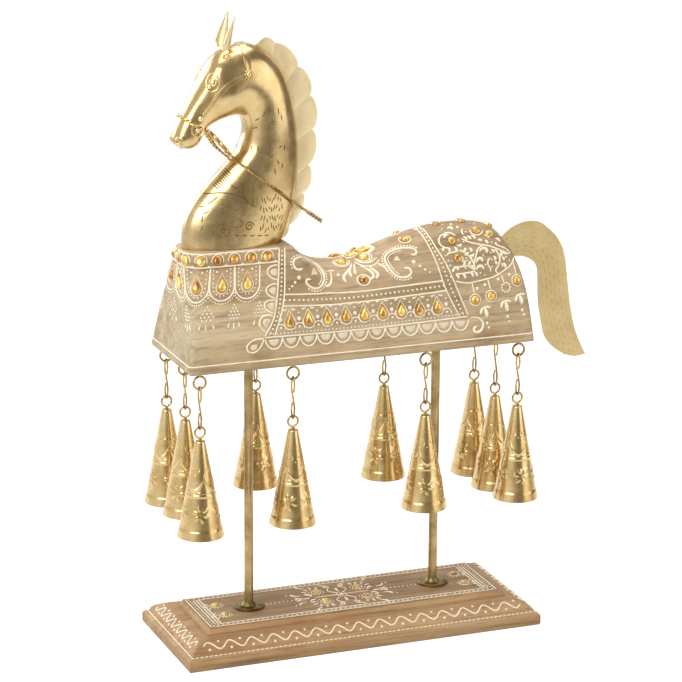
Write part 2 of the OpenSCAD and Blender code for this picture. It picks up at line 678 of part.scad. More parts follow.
// Strand of the twisted free end, where both reins are wound together
function strand(from) = [for (k = [0:30]) let (t = k / 30, a = from + 900 * t, c = rein_d * 0.53)
  [c * cos(a), c * sin(a), rein_end_len * t]];
module reins() {
  color(brass) in_neck() {
    both_sides() wire(REIN, rein_d, 5);
    translate([rein_end_x, 0, rein_end_z]) rotate([0, 90 + rein_end_tilt, 0])
      for (from = [90, 270]) wire(strand(from), rein_d, 1, 6);
  }
}

module tail_plate() {
  top = smooth(TAIL_TOP, 3);
  low = smooth(TAIL_LOW, 3);
  color(brass) in_body() rotate([90, 0, 0]) translate([0, 0, -tail_t / 2]) linear_extrude(tail_t)
    polygon(concat([[tail_in + fit, tail_low_z], [tail_in + fit, tail_high_z], [rear_x - 18, tail_high_z]],
      [for (p = top) [rear_x + p[0], p[1]]], [for (p = low) [rear_x + p[0], p[1]]],
      [[rear_x - 12, tail_low_z]]));
}

module screw_eyes() {
  color(brass) for (b = BELLS) translate([b[0], b[1], 0]) {
    translate([0, 0, eye_mid_z]) rotate([90, 0, 0]) ring(eye_r, eye_wire);
    translate([0, 0, eye_mid_z + eye_r]) cylinder(d = shank_d, h = body_z + shank_len - eye_mid_z - eye_r);
  }
}

// S-hook of bent wire in the plane across the horse, with a slight knuckle where each bend runs out
module hook(k) {
  drop = hook_drop + HANG[k];
  lean = asin(2 * hook_r / drop);
  run = drop * cos(lean);
  color(brass) translate([BELLS[k][0], BELLS[k][1], 0]) {
    translate([0, 0, hook_top_z]) rotate([90, 0, 90]) arc(hook_r, hook_wire, -lean, 200 + lean);
    translate([0, 0, hook_top_z - drop]) rotate([90, 0, 90]) arc(hook_r, hook_wire, 180 - lean, 200 + lean);
    translate([0, hook_r * cos(lean), hook_top_z - hook_r * sin(lean)]) rotate([-lean, 0, 0]) {
      translate([0, 0, 0.05 - run]) cylinder(d = hook_wire, h = run - 0.1);
      for (z = [0, -run]) translate([0, 0, z]) sphere(d = hook_wire + 0.12);
    }
  }
}

// Cone bell with its rim band and middle bead, hung on a wire loop whose stem goes through the top
function cone_r(d) = mix(bell_top_r, bell_r - band_out, d / bell_h);
module bell(k) {
  hole = stem_d / 2 + fit;
  bead = bell_h - bead_up;
  band = bell_h - band_h;
  outside = [[hole, 0], [bell_top_r - 0.6, 0], [cone_r(0.8), -0.8],
    [cone_r(bead - bead_w / 2), -bead + bead_w / 2], [cone_r(bead) + band_out, -bead + bead_w / 4],
    [cone_r(bead) + band_out, -bead - bead_w / 4], [cone_r(bead + bead_w / 2), -bead - bead_w / 2],
    [cone_r(band), -band], [cone_r(band) + band_out, -band - 0.4], [bell_r, -bell_h]];
  inside = [[cone_r(bell_h) - bell_wall, -bell_h], [cone_r(bell_top_t) - bell_wall, -bell_top_t],
    [hole, -bell_top_t]];
  color(brass) translate([BELLS[k][0], BELLS[k][1], -HANG[k]]) {
    translate([0, 0, bell_top_z]) rotate_extrude() polygon(concat(outside, inside));
    translate([0, 0, loop_top_z - loop_r]) rotate([90, 0, 0]) ring(loop_r, loop_wire);
    translate([0, 0, inner_mid_z + inner_r])
      cylinder(d = stem_d, h = loop_top_z - 2 * loop_r - inner_mid_z - inner_r);
    translate([0, 0, bell_top_z - bell_top_t - fit - keeper_h]) cylinder(r = keeper_r, h = keeper_h);
    translate([0, 0, inner_mid_z]) rotate([90, 0, 0]) ring(inner_r, inner_wire);
  }
}

module clapper(k) {
  color(brass) translate([BELLS[k][0], BELLS[k][1], -HANG[k]]) {
    translate([0, 0, clap_mid_z]) rotate([90, 0, 90]) ring(clap_r, clap_wire);
    translate([0, 0, clap_ball_z]) cylinder(d = clap_rod, h = clap_mid_z - clap_r - clap_ball_z);
    translate([0, 0, clap_ball_z]) sphere(d = clap_ball);
  }
}

// Stones: rounds and drops on the collar, drops on the blanket, rounds and drops on saddle, rump and base
module on_side(x, z, turn = 0) {
  face_on(side_pt(x, z) + side_dir(x, z) * seat_gap, side_dir(x, z), turn) children();
}
module on_crown(x, a, turn = 0) {
  face_on(crown_pt(x, a) + crown_dir(x, a) * 2.2 * seat_gap, crown_dir(x, a), turn) children();
}
module on_ridge(x, turn = 0) {
  n = unit([top_z(x - 1) - top_z(x + 1), 0, 2]);
  face_on([x, 0, top_z(x)] + n * 2.2 * seat_gap, n, turn) children();
}
module on_collar(p, z) {
  f = collar_frame(p, z);
  face_on(f[0] + f[1] * 2.5 * seat_gap, f[1]) children();
}

collar_round_z = seat_h - collar_round_low;
collar_drop_z = seat_h - collar_drop_low;
module collar_stones() {
  color(amber) in_body() {
    for (k = [-6:6]) on_collar(k * collar_pitch, collar_round_z) dome(collar_stone, stone_h);
    for (k = [-4:3]) on_collar((k + 0.5) * collar_drop_pitch, collar_drop_z) drop(drop_w, drop_l, drop_h);
  }
}

blanket_from = saddle_x - 56.5;
module blanket_stones() {
  color(amber) in_body() both_sides() for (k = [0:8])
    on_side(blanket_from + k * blanket_pitch, blanket_z) drop(drop_w, drop_l, drop_h);
}

// Saddle stones, from the middle of the saddle's flower: distance along the body, angle on the crown, turn
flower_x = saddle_x + 15.5;
PETALS = [[8, 71, 33], [-12, 76, -45]];
petal_x = 14.5;
drooping_x = 1;
drooping_a = 32;
rear_round_x = 48;
rear_round_a = 72;
module saddle_stones() {
  color(amber) in_body() {
    on_ridge(flower_x) dome(collar_stone, stone_h);
    on_ridge(flower_x + petal_x, 180) drop(drop_w, drop_l, drop_h);
    both_sides() {
      for (s = PETALS) on_crown(flower_x + s[0], s[1], s[2]) drop(drop_w, drop_l, drop_h);
      on_crown(flower_x + drooping_x, drooping_a) dome(round_stone, stone_h);
      on_crown(flower_x + rear_round_x, rear_round_a) dome(round_stone, stone_h);
    }
  }
}

// Rump stones, measured from the body's rear: distance and angle on the crown, distance and height, distance
RUMP_ROUNDS = [[68, 40], [66, 14], [42, 56], [31, 46]];
RUMP_HANGERS = [[54, 0], [38.5, 2], [12, 13]];
RUMP_RIDGE = [75, 50.5, 23.5];
module rump_stones() {
  color(amber) in_body() {
    for (d = RUMP_RIDGE) on_ridge(rear_x - d) dome(round_stone, stone_h);
    both_sides() {
      for (s = RUMP_ROUNDS) on_crown(rear_x - s[0], s[1]) dome(round_stone, stone_h);
      for (s = RUMP_HANGERS) on_side(rear_x - s[0], hanger_z + s[1]) dome(round_stone, stone_h);
    }
  }
}

module base_stones() {
  color(amber) translate([0, 0, base_h]) for (s = [-1, 1]) for (t = [-1, 1]) {
    translate([s * base_stone_run, t * base_stone_side, 0]) dome(base_stone, stone_h);
    translate([s * (post_pitch / 2 + base_stone_end), t * base_stone_side, 0]) dome(base_stone, stone_h);
  }
}

base_board();
front_post();
rear_post();
front_flange();
rear_flange();
flange_screws();
horse_body();
neck_plug();
neck_dowel();
neck_shell_left();
neck_shell_right();
mane_plate();
left_ear();
right_ear();
eye_studs();
headstall();
noseband();
rosettes();
reins();
tail_plate();
screw_eyes();
collar_stones();
blanket_stones();
saddle_stones();
rump_stones();
base_stones();
hook(0);  // hook_01
hook(1);  // hook_02
hook(2);  // hook_03
hook(3);  // hook_04
hook(4);  // hook_05
hook(5);  // hook_06
hook(6);  // hook_07
hook(7);  // hook_08
hook(8);  // hook_09
hook(9);  // hook_10
bell(0);  // bell_01
bell(1);  // bell_02
bell(2);  // bell_03
bell(3);  // bell_04
bell(4);  // bell_05
bell(5);  // bell_06
bell(6);  // bell_07
bell(7);  // bell_08
bell(8);  // bell_09
bell(9);  // bell_10
clapper(0);  // clapper_01
clapper(1);  // clapper_02
clapper(2);  // clapper_03
clapper(3);  // clapper_04
clapper(4);  // clapper_05
clapper(5);  // clapper_06
clapper(6);  // clapper_07
clapper(7);  // clapper_08
clapper(8);  // clapper_09
clapper(9);  // clapper_10
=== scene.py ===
# Looks of a painted wooden horse with bells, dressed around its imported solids. Sizes are in millimetres.
import json
import math

import bpy
import numpy as np
from mathutils import Matrix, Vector
from mathutils.bvhtree import BVHTree


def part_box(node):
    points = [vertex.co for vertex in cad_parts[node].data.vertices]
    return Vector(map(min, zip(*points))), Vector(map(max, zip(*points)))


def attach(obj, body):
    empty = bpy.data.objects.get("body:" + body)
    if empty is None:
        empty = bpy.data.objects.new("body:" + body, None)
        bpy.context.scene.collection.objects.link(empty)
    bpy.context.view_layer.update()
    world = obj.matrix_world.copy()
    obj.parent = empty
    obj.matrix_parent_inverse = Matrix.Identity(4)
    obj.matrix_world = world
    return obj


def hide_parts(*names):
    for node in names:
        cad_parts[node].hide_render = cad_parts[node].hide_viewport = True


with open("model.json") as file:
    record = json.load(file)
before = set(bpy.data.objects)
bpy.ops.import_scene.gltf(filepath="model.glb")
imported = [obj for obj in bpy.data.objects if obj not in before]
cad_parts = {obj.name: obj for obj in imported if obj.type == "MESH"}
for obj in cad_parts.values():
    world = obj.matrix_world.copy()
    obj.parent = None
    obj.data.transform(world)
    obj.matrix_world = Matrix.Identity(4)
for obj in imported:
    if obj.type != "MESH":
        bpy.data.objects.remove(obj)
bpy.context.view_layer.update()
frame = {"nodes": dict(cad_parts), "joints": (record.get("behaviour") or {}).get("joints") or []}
MM = 0.001
STAND = "stand"
MIRROR = np.array([1, -1, 1])


def node_box(node):
    low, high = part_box(node)
    return np.array(low) / MM, np.array(high) / MM


# Sizes of the base
BASE_X, BASE_Y, BASE_H = node_box("base_board")[1]
SLAB_H = 12
SLAB_ROUND = 4
LEDGE_W = 5
OVOLO_W = 20
OVOLO_H = 10.5
STEP_W = 4
PANEL_RISE = BASE_H - SLAB_H - OVOLO_H
PANEL_IN = LEDGE_W + OVOLO_W + STEP_W

# Sizes of the body
BODY_Z = node_box("horse_body")[0][2]
FRONT_X = -161
REAR_X = 161
BODY_WID = 108
SEAT_H = 98.5
SADDLE_H = 77.5
RUMP_H = 101.5
RUMP_RUN = 60
RUMP_FULL = 3.4
FRONT_RAKE = 8.5
LIP = 2
SHOULDER = 3
SIDE_SWELL = 2.5
CORNER_LOW = 2.5
CORNER_HIGH = 19
CROWN_H = 36
RUMP_EDGE = 16
NECK_HALF = 45
NECK_X = FRONT_X + FRONT_RAKE + SHOULDER + NECK_HALF
NECK_Z = BODY_Z + SEAT_H
NECK_FOOT = np.array([NECK_X, NECK_Z])
SEAT_END = NECK_X + NECK_HALF + SHOULDER
SEAT_W = 23
SADDLE_X = SEAT_END + 46
RUMP_X = REAR_X - RUMP_RUN

# Stations of the neck and head: throat side x and z, crest side x and z, half width
HEAD = [
    (-45, 0, 45, 0, 20), (-44, 16, 49.5, 8, 20), (-37.5, 33.5, 55, 25, 20), (-23, 52.5, 59, 48, 20),
    (-7, 69, 60, 79, 20), (4.5, 81.5, 58, 106, 20), (9, 91.5, 52.5, 133, 20), (11, 100, 43, 154, 20),
    (10.5, 106.5, 27.5, 169, 20.5), (8.5, 111, 12, 175, 21), (5.5, 113, -3, 172, 21.5),
    (1, 113.5, -16, 165, 21.5), (-5.5, 112.5, -25, 152.5, 20), (-13.5, 110, -34.5, 135.5, 16.5),
    (-21.5, 105.5, -41.5, 122.5, 14), (-26, 98.5, -48, 111, 13), (-30.5, 91.5, -51.5, 102, 12.5),
    (-37, 88, -53, 96, 11), (-43, 88, -52, 92.5, 8), (-46, 89.5, -50, 91.5, 4)]
HEAD_END = len(HEAD) - 1

# Sizes of the hooks and bells
HOOK_R = 2.1
HOOK_WIRE = 1.5
BELL_H = 85
BELL_R = 21
BELL_TOP_R = 4.8
BELL_WALL = 0.9
BELL_COUNT = 10
BELL_TURN = 43
LOOP_R = 4.6
LOOP_WIRE = 1.8
INNER_R = 2.4
INNER_WIRE = 1.4


def mix(a, b, t):
    return a + (b - a) * t


def ease(t):
    t = np.clip(t, 0.0, 1.0)
    return t * t * (3 - 2 * t)


def unit(v):
    v = np.asarray(v, float)
    return v / np.maximum(np.linalg.norm(v, axis=-1, keepdims=True), 1e-9)


def bump(d, width):
    """A smooth hill, 1 at its top and about 0 at twice its width."""
    return np.exp(-(d / width) ** 2)


def spline_at(points, u):
    """A smooth curve through points, the same as the solids' own."""
    points = np.asarray(points, float)
    last = len(points) - 1
    i = int(max(0, min(math.floor(u), last - 1)))
    t = u - i
    a, b, c, d = points[max(i - 1, 0)], points[i], points[i + 1], points[min(i + 2, last)]
    bend = (2 * a - 5 * b + 4 * c - d) * t ** 2 + (3 * b - a - 3 * c + d) * t ** 3
    return 0.5 * (2 * b + (c - a) * t + bend)


def spline(points, n=6):
    return np.array([spline_at(points, k / n) for k in range(n * (len(points) - 1) + 1)])


def run_of(path):
    """Distance along a path from its start to each of its points."""
    return np.r_[0, np.cumsum(np.linalg.norm(np.diff(path, axis=0), axis=1))]


def resample(path, step):
    """Points at an even distance along a path."""
    path = np.asarray(path, float)
    run = run_of(path)
    n = max(2, int(round(run[-1] / step)) + 1)
    at = np.linspace(0, run[-1], n)
    return np.stack([np.interp(at, run, path[:, k]) for k in range(path.shape[1])], axis=1)


def leftward(path):
    """Flat directions a quarter turn to the left of a path's run."""
    t = unit(np.gradient(np.asarray(path, float), axis=0))
    return np.stack([-t[:, 1], t[:, 0]], axis=1)


def beside(path, d):
    return path + leftward(path) * d


def arc(centre, rx, ry, start, end, n=14):
    a = np.radians(np.linspace(start, end, n))
    return np.stack([centre[0] + rx * np.cos(a), centre[1] + ry * np.sin(a)], axis=1)


def spiral(centre, r_from, r_to, turn, n):
    """A curl about a centre that narrows as it turns; the turn is a share of half a circle."""
    a = np.linspace(0, turn * math.pi, n)
    r = np.linspace(r_from, r_to, n)
    return np.stack([centre[0] + r * np.cos(a), centre[1] + r * np.sin(a)], axis=1)


def ray(a, s=1, t=1):
    """A flat direction at an angle, flipped along either axis."""
    return np.array([s * math.cos(math.radians(a)), t * math.sin(math.radians(a))])


def round_about(n, count):
    """Directions all round n, square to it."""
    a = np.arange(count) * 2 * math.pi / count
    b = unit(np.cross(n, (0, 0, 1)))
    return np.outer(np.cos(a), b) + np.outer(np.sin(a), np.cross(n, b))


def placed(points, origin, turn=0.0, size=1.0, flip=1):
    """A motif's points, flipped along the first axis, turned, sized and moved."""
    points = np.asarray(points, float) * size * np.array([flip, 1])
    c, s = math.cos(math.radians(turn)), math.sin(math.radians(turn))
    return points @ np.array([[c, s], [-s, c]]) + np.asarray(origin, float)


# Shape of the body, the same as that of its solid
def front_at(z):
    return FRONT_X + FRONT_RAKE * (z - LIP) / (SEAT_H - SHOULDER - LIP)


def rump_curve(f):
    return max(0.0, 1 - max(0.0, f) ** RUMP_FULL) ** (1 / RUMP_FULL)


def rear_at(z):
    return RUMP_X + RUMP_RUN * rump_curve((z - LIP) / (RUMP_H - LIP))


def top_z(x):
    if x < FRONT_X + FRONT_RAKE:
        return LIP + (SEAT_H - SHOULDER - LIP) * (x - FRONT_X) / FRONT_RAKE
    if x < FRONT_X + FRONT_RAKE + SHOULDER:
        s = 1 - (x - FRONT_X - FRONT_RAKE) / SHOULDER
        return SEAT_H - SHOULDER * (1 - math.sqrt(max(0, 1 - s * s)))
    if x < SEAT_END:
        return SEAT_H
    if x < SADDLE_X:
        return mix(SEAT_H, SADDLE_H, 1 - (1 - (x - SEAT_END) / (SADDLE_X - SEAT_END)) ** 2.4)
    if x < RUMP_X:
        f = ((x - SADDLE_X) / (RUMP_X - SADDLE_X)) ** 0.85
        return mix(SADDLE_H, RUMP_H, (1 - math.cos(math.pi * f)) / 2)
    return LIP + (RUMP_H - LIP) * rump_curve((x - RUMP_X) / RUMP_RUN)


def low_z(x):
    s = max(0, 1 - min(x - FRONT_X, REAR_X - x) / LIP)
    return LIP * (1 - math.sqrt(max(0, 1 - s * s)))


def side_w(z):
    s = max(0, 1 - z / LIP)
    swell = SIDE_SWELL * math.sin(math.pi * z / SEAT_H)
    return mix(BODY_WID / 2, SEAT_W, z / SEAT_H) + swell - LIP * (1 - math.sqrt(max(0, 1 - s * s)))


def corner_r(z):
    return mix(CORNER_LOW, CORNER_HIGH, max(0, min(1, z / SEAT_H)))


def corner_cut(s, r):
    return 0 if s >= r else r * (1 - math.sqrt(max(0, 1 - (1 - max(s, 0) / r) ** 2)))


def body_w(x, z):
    r = corner_r(z)
    return side_w(z) - corner_cut(x - front_at(z), r) - corner_cut(rear_at(z) - x, r)


def crown_drop(x):
    back = ease((x - SEAT_END + 6) / 34)
    rear = ease((x - RUMP_X) / RUMP_RUN)
    return min(mix(mix(SHOULDER, CROWN_H, back), RUMP_EDGE, rear), 0.8 * (top_z(x) - low_z(x)))


def crown_pt(x, a):
    c = crown_drop(x)
    z = top_z(x) - c + c * max(0, math.sin(math.radians(a))) ** 0.85
    w = max(SHOULDER, body_w(x, z) - 1.5)
    back = ease((x - SEAT_END + 6) / 34)
    run = mix(mix(SHOULDER, w, back), min(RUMP_EDGE, w), ease((x - RUMP_X) / RUMP_RUN))
    turn = max(0, math.cos(math.radians(a))) ** 0.85
    return x, -max(1.5, body_w(x, z) - run * (1 - turn)), z


def section(x, side_n=36, crown_n=36):
    """Near half of the body's cross-section, from its lower edge up to the ridge."""
    t, b, c = top_z(x), low_z(x), crown_drop(x)
    heights = [b + (t - c - b) * (k / side_n) ** 1.3 for k in range(side_n)]
    side = [(x, -body_w(x, z), z) for z in heights]
    crown = [crown_pt(x, 90 * k / crown_n) for k in range(crown_n + 1)]
    return np.array(side + crown) + np.array([0, 0, BODY_Z])


# The flank as a sheet: x along the body, g the girth from the lower edge up to the ridge and over it
FLANK_FROM = FRONT_X + 10
FLANK_TO = REAR_X - 4
FLANK_STEP = 1.0
GIRTH_MAX = 180
COLLAR_LEAN = 0.144
flank_xs = np.arange(FLANK_FROM, FLANK_TO + 0.5, FLANK_STEP)
flank_sections = [section(x) for x in flank_xs]
flank_runs = [run_of(s) for s in flank_sections]


def flank_row(points, run):
    over = points[-2::-1] * MIRROR
    both = np.vstack([points, over])
    both_run = np.r_[run, 2 * run[-1] - run[-2::-1]]
    g = np.arange(GIRTH_MAX)
    return np.stack([np.interp(g, both_run, both[:, k]) for k in range(3)], axis=1)


flank_table = np.array([flank_row(p, r) for p, r in zip(flank_sections, flank_runs)])
flank_normals = unit(np.cross(np.gradient(flank_table, axis=0), np.gradient(flank_table, axis=1)))


def flank_index(x):
    return int(np.clip(round((x - FLANK_FROM) / FLANK_STEP), 0, len(flank_xs) - 1))


def up(x, z):
    """Girth at which the flank is z above the ground."""
    i = flank_index(x)
    return float(np.interp(z, flank_sections[i][:, 2], flank_runs[i]))


def at(points):
    """Flank coordinates of points given by x and height above the ground."""
    return np.array([(x, up(x, z)) for x, z in points])


def on_ridge(x):
    return x, float(flank_runs[flank_index(x)][-1])


def on_crown(x, a):
    return x, up(x, BODY_Z + crown_pt(x, a)[2])


def sample(table, x, g):
    i = np.clip((x - FLANK_FROM) / FLANK_STEP, 0, table.shape[0] - 1.001)
    j = np.clip(g, 0, table.shape[1] - 1.001)
    i0, j0 = i.astype(int), j.astype(int)
    s, t = (i - i0)[:, None], (j - j0)[:, None]
    low = mix(table[i0, j0], table[i0 + 1, j0], s)
    high = mix(table[i0, j0 + 1], table[i0 + 1, j0 + 1], s)
    return mix(low, high, t)


def near(path):
    path = np.asarray(path, float)
    x, g = path[:, 0], path[:, 1]
    return sample(flank_table, x, g), unit(sample(flank_normals, x, g))


def far(path):
    points, normals = near(path)
    return points * MIRROR, normals * MIRROR


def collar(level):
    """The collar as a sheet: p from the middle of the front round to the near side, z above the underside.

    Lengths along p are true at one level, and lines across stand upright above and below it.
    """
    r0 = corner_r(level)
    f0 = side_w(level) - r0
    bend = r0 * math.pi / 2
    edge = front_at(level) + r0

    def on(path):
        points, normals = [], []
        for p, z in np.asarray(path, float):
            r, w, q, g = corner_r(z), side_w(z), abs(p), 1 if p < 0 else -1
            a = min(max((q - f0) / r0, 0), math.pi / 2)
            past = max(0, q - f0 - bend)
            x = front_at(z) + r * (1 - math.cos(a))
            if past:
                x = edge + past + mix(x - edge, COLLAR_LEAN * (z - level), ease(past / 10))
            y = min(q, f0) * (w - r) / f0 + r * math.sin(a)
            slope = BODY_WID / 2 - SEAT_W - SIDE_SWELL * math.pi * math.cos(math.pi * z / SEAT_H)
            lean = mix(FRONT_RAKE, slope, a / (math.pi / 2)) / SEAT_H
            points.append((x, g * y, z + BODY_Z))
            normals.append((-math.cos(a), g * math.sin(a), lean))
        return np.array(points), unit(normals)
    return on


def panel(path):
    path = np.asarray(path, float)
    points = np.c_[path, np.full(len(path), BASE_H)]
    return points, np.tile([0.0, 0.0, 1.0], (len(path), 1))


def ledge(path):
    points, normals = panel(path)
    points[:, 2] = SLAB_H
    return points, normals


def ovolo(side):
    """The base's rounded moulding on one side: s along it, a the angle up its quarter round."""
    along_x = side in ("near", "far")
    sign = -1 if side in ("near", "front") else 1
    half = (BASE_Y if along_x else BASE_X) - LEDGE_W - OVOLO_W

    def on(path):
        s, a = np.asarray(path, float).T
        out = half + OVOLO_W * np.cos(np.radians(a))
        z = SLAB_H + OVOLO_H * np.sin(np.radians(a))
        n_out = np.cos(np.radians(a)) / OVOLO_W
        n_up = np.sin(np.radians(a)) / OVOLO_H
        zero = np.zeros_like(s)
        points = (s, sign * out, z) if along_x else (sign * out, s, z)
        normals = (zero, sign * n_out, n_up) if along_x else (sign * n_out, zero, n_up)
        return np.stack(points, axis=1), unit(np.stack(normals, axis=1))
    return on


def facing(piece, way, origin=(0, 0)):
    """A piece's surface as it is met along a way: the place across and the height."""
    tree = BVHTree.FromObject(piece, bpy.context.evaluated_depsgraph_get())
    way = np.array(way, float)

    def on(path):
        points, normals = [], []
        for s, z in np.asarray(path, float) + np.asarray(origin, float):
            start = np.array([s, 0, z] if way[1] else [0, s, z]) - way * 400
            hit, normal, _, _ = tree.ray_cast(start * MM, way)
            points.append(np.array(hit) / MM)
            normals.append(np.array(normal))
        return np.array(points), unit(normals)
    return on


def upright(y):
    """A sheet that stands along the body: x and z, seen from one side."""
    def on(path):
        path = np.asarray(path, float)
        points = np.stack([path[:, 0], np.full(len(path), y), path[:, 1]], axis=1)
        return points, np.tile([0.0, math.copysign(1, y), 0.0], (len(path), 1))
    return on


# Shape of the neck and head; a is 0 on the throat side, 90 on the near side and 180 on the crest
FACE_SQUARE = 0.82


def head_pt(u, a):
    s = spline_at(HEAD, u)
    mid = (s[:2] + s[2:4]) / 2
    d = s[2:4] - s[:2]
    half = np.linalg.norm(d) / 2
    e = d / np.linalg.norm(d)
    power = mix(1, FACE_SQUARE, ease((u - 10.5) / 2) * ease((18.5 - u) / 2))
    ca, sa = math.cos(math.radians(a)), math.sin(math.radians(a))
    ca = math.copysign(abs(ca) ** power, ca)
    sa = math.copysign(abs(sa) ** power, sa)
    x, z = mid - e * half * ca
    return np.array([NECK_X + x, -s[4] * sa, NECK_Z + z])


def head_dir(u, a):
    along = head_pt(min(u + 0.05, HEAD_END), a) - head_pt(max(u - 0.05, 0), a)
    n = unit(np.cross(along, head_pt(u, a + 1) - head_pt(u, a - 1)))
    s = spline_at(HEAD, u)
    mid = np.array([NECK_X + (s[0] + s[2]) / 2, 0, NECK_Z + (s[1] + s[3]) / 2])
    return n if np.dot(head_pt(u, a) - mid, n) >= 0 else -n


def head_at(u, a):
    return head_pt(u, a), head_dir(u, a)


def on_side(a, flip):
    """The angle a, or that of the same place on the far side."""
    return a if flip > 0 else 360 - a


def walls(m, n, loop=False):
    """Four-sided faces between m rings of n points, the last ring joined to the first in a loop."""
    faces = []
    for i in range(m if loop else m - 1):
        k = (i + 1) % m
        for j in range(n):
            r = (j + 1) % n
            faces.append((i * n + j, i * n + r, k * n + r, k * n + j))
    return faces


class Shape:
    """Points and faces gathered in millimetres, and made into one piece at the end."""

    def __init__(self):
        self.points = []
        self.faces = []
        self.count = 0

    def add(self, points, faces):
        self.points.append(np.asarray(points, float))
        self.faces.extend([self.count + i for i in f] for f in faces)
        self.count += len(points)

    def loft(self, rings, loop=False):
        """Closed rings of equal length joined in order."""
        m, n = len(rings), len(rings[0])
        faces = walls(m, n, loop)
        if not loop:
            faces += [tuple(range(n - 1, -1, -1)), tuple((m - 1) * n + j for j in range(n))]
        self.add(np.vstack(rings), faces)

    def dome(self, rings, top):
        """Rings that close in a point."""
        m, n = len(rings), len(rings[0])
        faces = [tuple(range(n - 1, -1, -1)), *walls(m, n)]
        faces += [((m - 1) * n + j, (m - 1) * n + (j + 1) % n, m * n) for j in range(n)]
        self.add(np.vstack([*rings, top]), faces)

    def tube(self, path, r, sides=8, loop=False):
        """A round wire along a path; r may be one radius or one for each point."""
        path = np.asarray(path, float)
        r = np.broadcast_to(np.asarray(r, float), (len(path),))
        t = np.roll(path, -1, 0) - np.roll(path, 1, 0) if loop else np.gradient(path, axis=0)
        t = unit(t)
        b = unit(np.cross(t[0], (0.31, 0.87, 0.38)))
        rings = []
        angles = np.arange(sides) * 2 * math.pi / sides
        for p, d, size in zip(path, t, r):
            b = unit(b - d * np.dot(b, d))
            c = np.cross(d, b)
            rings.append([p + (b * math.cos(q) + c * math.sin(q)) * size for q in angles])
        self.loft(rings, loop)

    def bead(self, on, path, width, height=None, ends=0.3, swell=None):
        """A raised line of paint on a sheet, narrowed at its ends."""
        height = width * 0.42 if height is None else height
        points, normals = on(path)
        n = len(points)
        t = unit(np.gradient(points, axis=0))
        b = unit(np.cross(normals, t))
        f = np.linspace(0, 1, n)
        grow = np.ones(n) if swell is None else np.interp(f, np.linspace(0, 1, len(swell)), swell)
        run = run_of(points)
        edge = np.minimum(run, run[-1] - run)
        grow = grow * np.clip(ends + (1 - ends) * edge / (0.6 * width), ends, 1)
        profile = ((-0.5, -0.12), (-0.33, 0.66), (0, 1), (0.33, 0.66), (0.5, -0.12))
        rings = []
        for p, d, m, s in zip(points, b, normals, grow):
            rings.append([p + d * o * width * s + m * h * height * s for o, h in profile])
        self.loft(rings)

    def dot(self, on, centres, r, height=0.55, sides=9):
        """Round drops of paint on a sheet; the height is a share of the radius."""
        points, normals = on(np.atleast_2d(np.asarray(centres, float)))
        radii = np.broadcast_to(np.asarray(r, float), (len(points),))
        a = np.arange(sides) * 2 * math.pi / sides
        for p, m, size in zip(points, normals, radii):
            b = unit(np.cross(m, (0.3, 0.2, 0.93) if abs(m[2]) < 0.9 else (1, 0, 0)))
            ring = np.outer(np.cos(a), b) + np.outer(np.sin(a), np.cross(m, b))
            low = p + ring * size - m * 0.1
            self.dome([low, p + ring * size * 0.72 + m * size * height * 0.68], [p + m * size * height])

    def field(self, on, outline, middle, rows):
        """A filled form on a sheet; each row is a share of the outline and a height above the sheet."""
        rings = []
        for share, height in rows:
            points, normals = on(mix(np.asarray(middle, float), np.asarray(outline, float), share))
            rings.append(points + normals * height)
        self.dome(rings[:-1], rings[-1][:1])

    def patch(self, on, outline, height=0.25):
        """A thin field of paint inside a rounded outline."""
        outline = np.asarray(outline, float)
        rows = ((1, -0.1), (0.88, height), (0.4, height), (0, height))
        self.field(on, outline, outline.mean(axis=0), rows)

    def stone(self, on, outline, middle, height):
        """A polished stone with a round girdle and a low dome."""
        rows = ((1, -0.1), (1, 0.3 * height), (0.93, 0.58 * height), (0.76, 0.83 * height),
                (0.45, 0.97 * height), (0, height))
        self.field(on, outline, middle, rows)

    def mesh(self, name, material, sharp=50):
        mesh = bpy.data.meshes.new(name)
        mesh.from_pydata((np.vstack(self.points) * MM).tolist(), [], self.faces)
        mesh.polygons.foreach_set("use_smooth", [True] * len(mesh.polygons))
        mesh.materials.append(material)
        mesh.set_sharp_from_angle(angle=math.radians(sharp))
        return mesh

    def piece(self, name, material, slot, replaces=(), sharp=50):
        return put(name, self.mesh(name, material, sharp), replaces)


def put(name, mesh, replaces=(), body=STAND, place=(0, 0, 0)):
    """Sets a mesh into the scene as a piece that rides on a body."""
    piece = bpy.data.objects.new(name, mesh)
    bpy.context.scene.collection.objects.link(piece)
    piece.location = np.asarray(place, float) * MM
    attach(piece, body)
    if replaces:
        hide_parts(*replaces)
    return piece


# Materials
def screen(r, g, b):
    """A colour given by its screen values from 0 to 255."""
    lin = [c / 255 / 12.92 if c < 11 else ((c / 255 + 0.055) / 1.055) ** 2.4 for c in (r, g, b)]
    return (*lin, 1.0)


class Nodes:
    """A tree of shader nodes."""

    def __init__(self, tree):
        self.tree = tree

    def node(self, kind, **inputs):
        node = self.tree.nodes.new(kind)
        for key, value in inputs.items():
            self.feed(node.inputs[key.replace("_", " ")], value)
        return node

    def feed(self, socket, value):
        if isinstance(value, bpy.types.NodeSocket):
            self.tree.links.new(value, socket)
        else:
            socket.default_value = value

    def larger(self, a, b):
        made = self.node("ShaderNodeMath")
        made.operation = "MAXIMUM"
        self.feed(made.inputs[0], a)
        self.feed(made.inputs[1], b)
        return made.outputs[0]

    def ramp(self, value, *stops):
        made = self.node("ShaderNodeValToRGB", Fac=value)
        points = made.color_ramp.elements
        while len(points) < len(stops):
            points.new(0.5)
        for point, (where, colour) in zip(points, stops):
            point.position = where
            point.color = colour if isinstance(colour, tuple) else (colour, colour, colour, 1)
        return made.outputs["Color"]


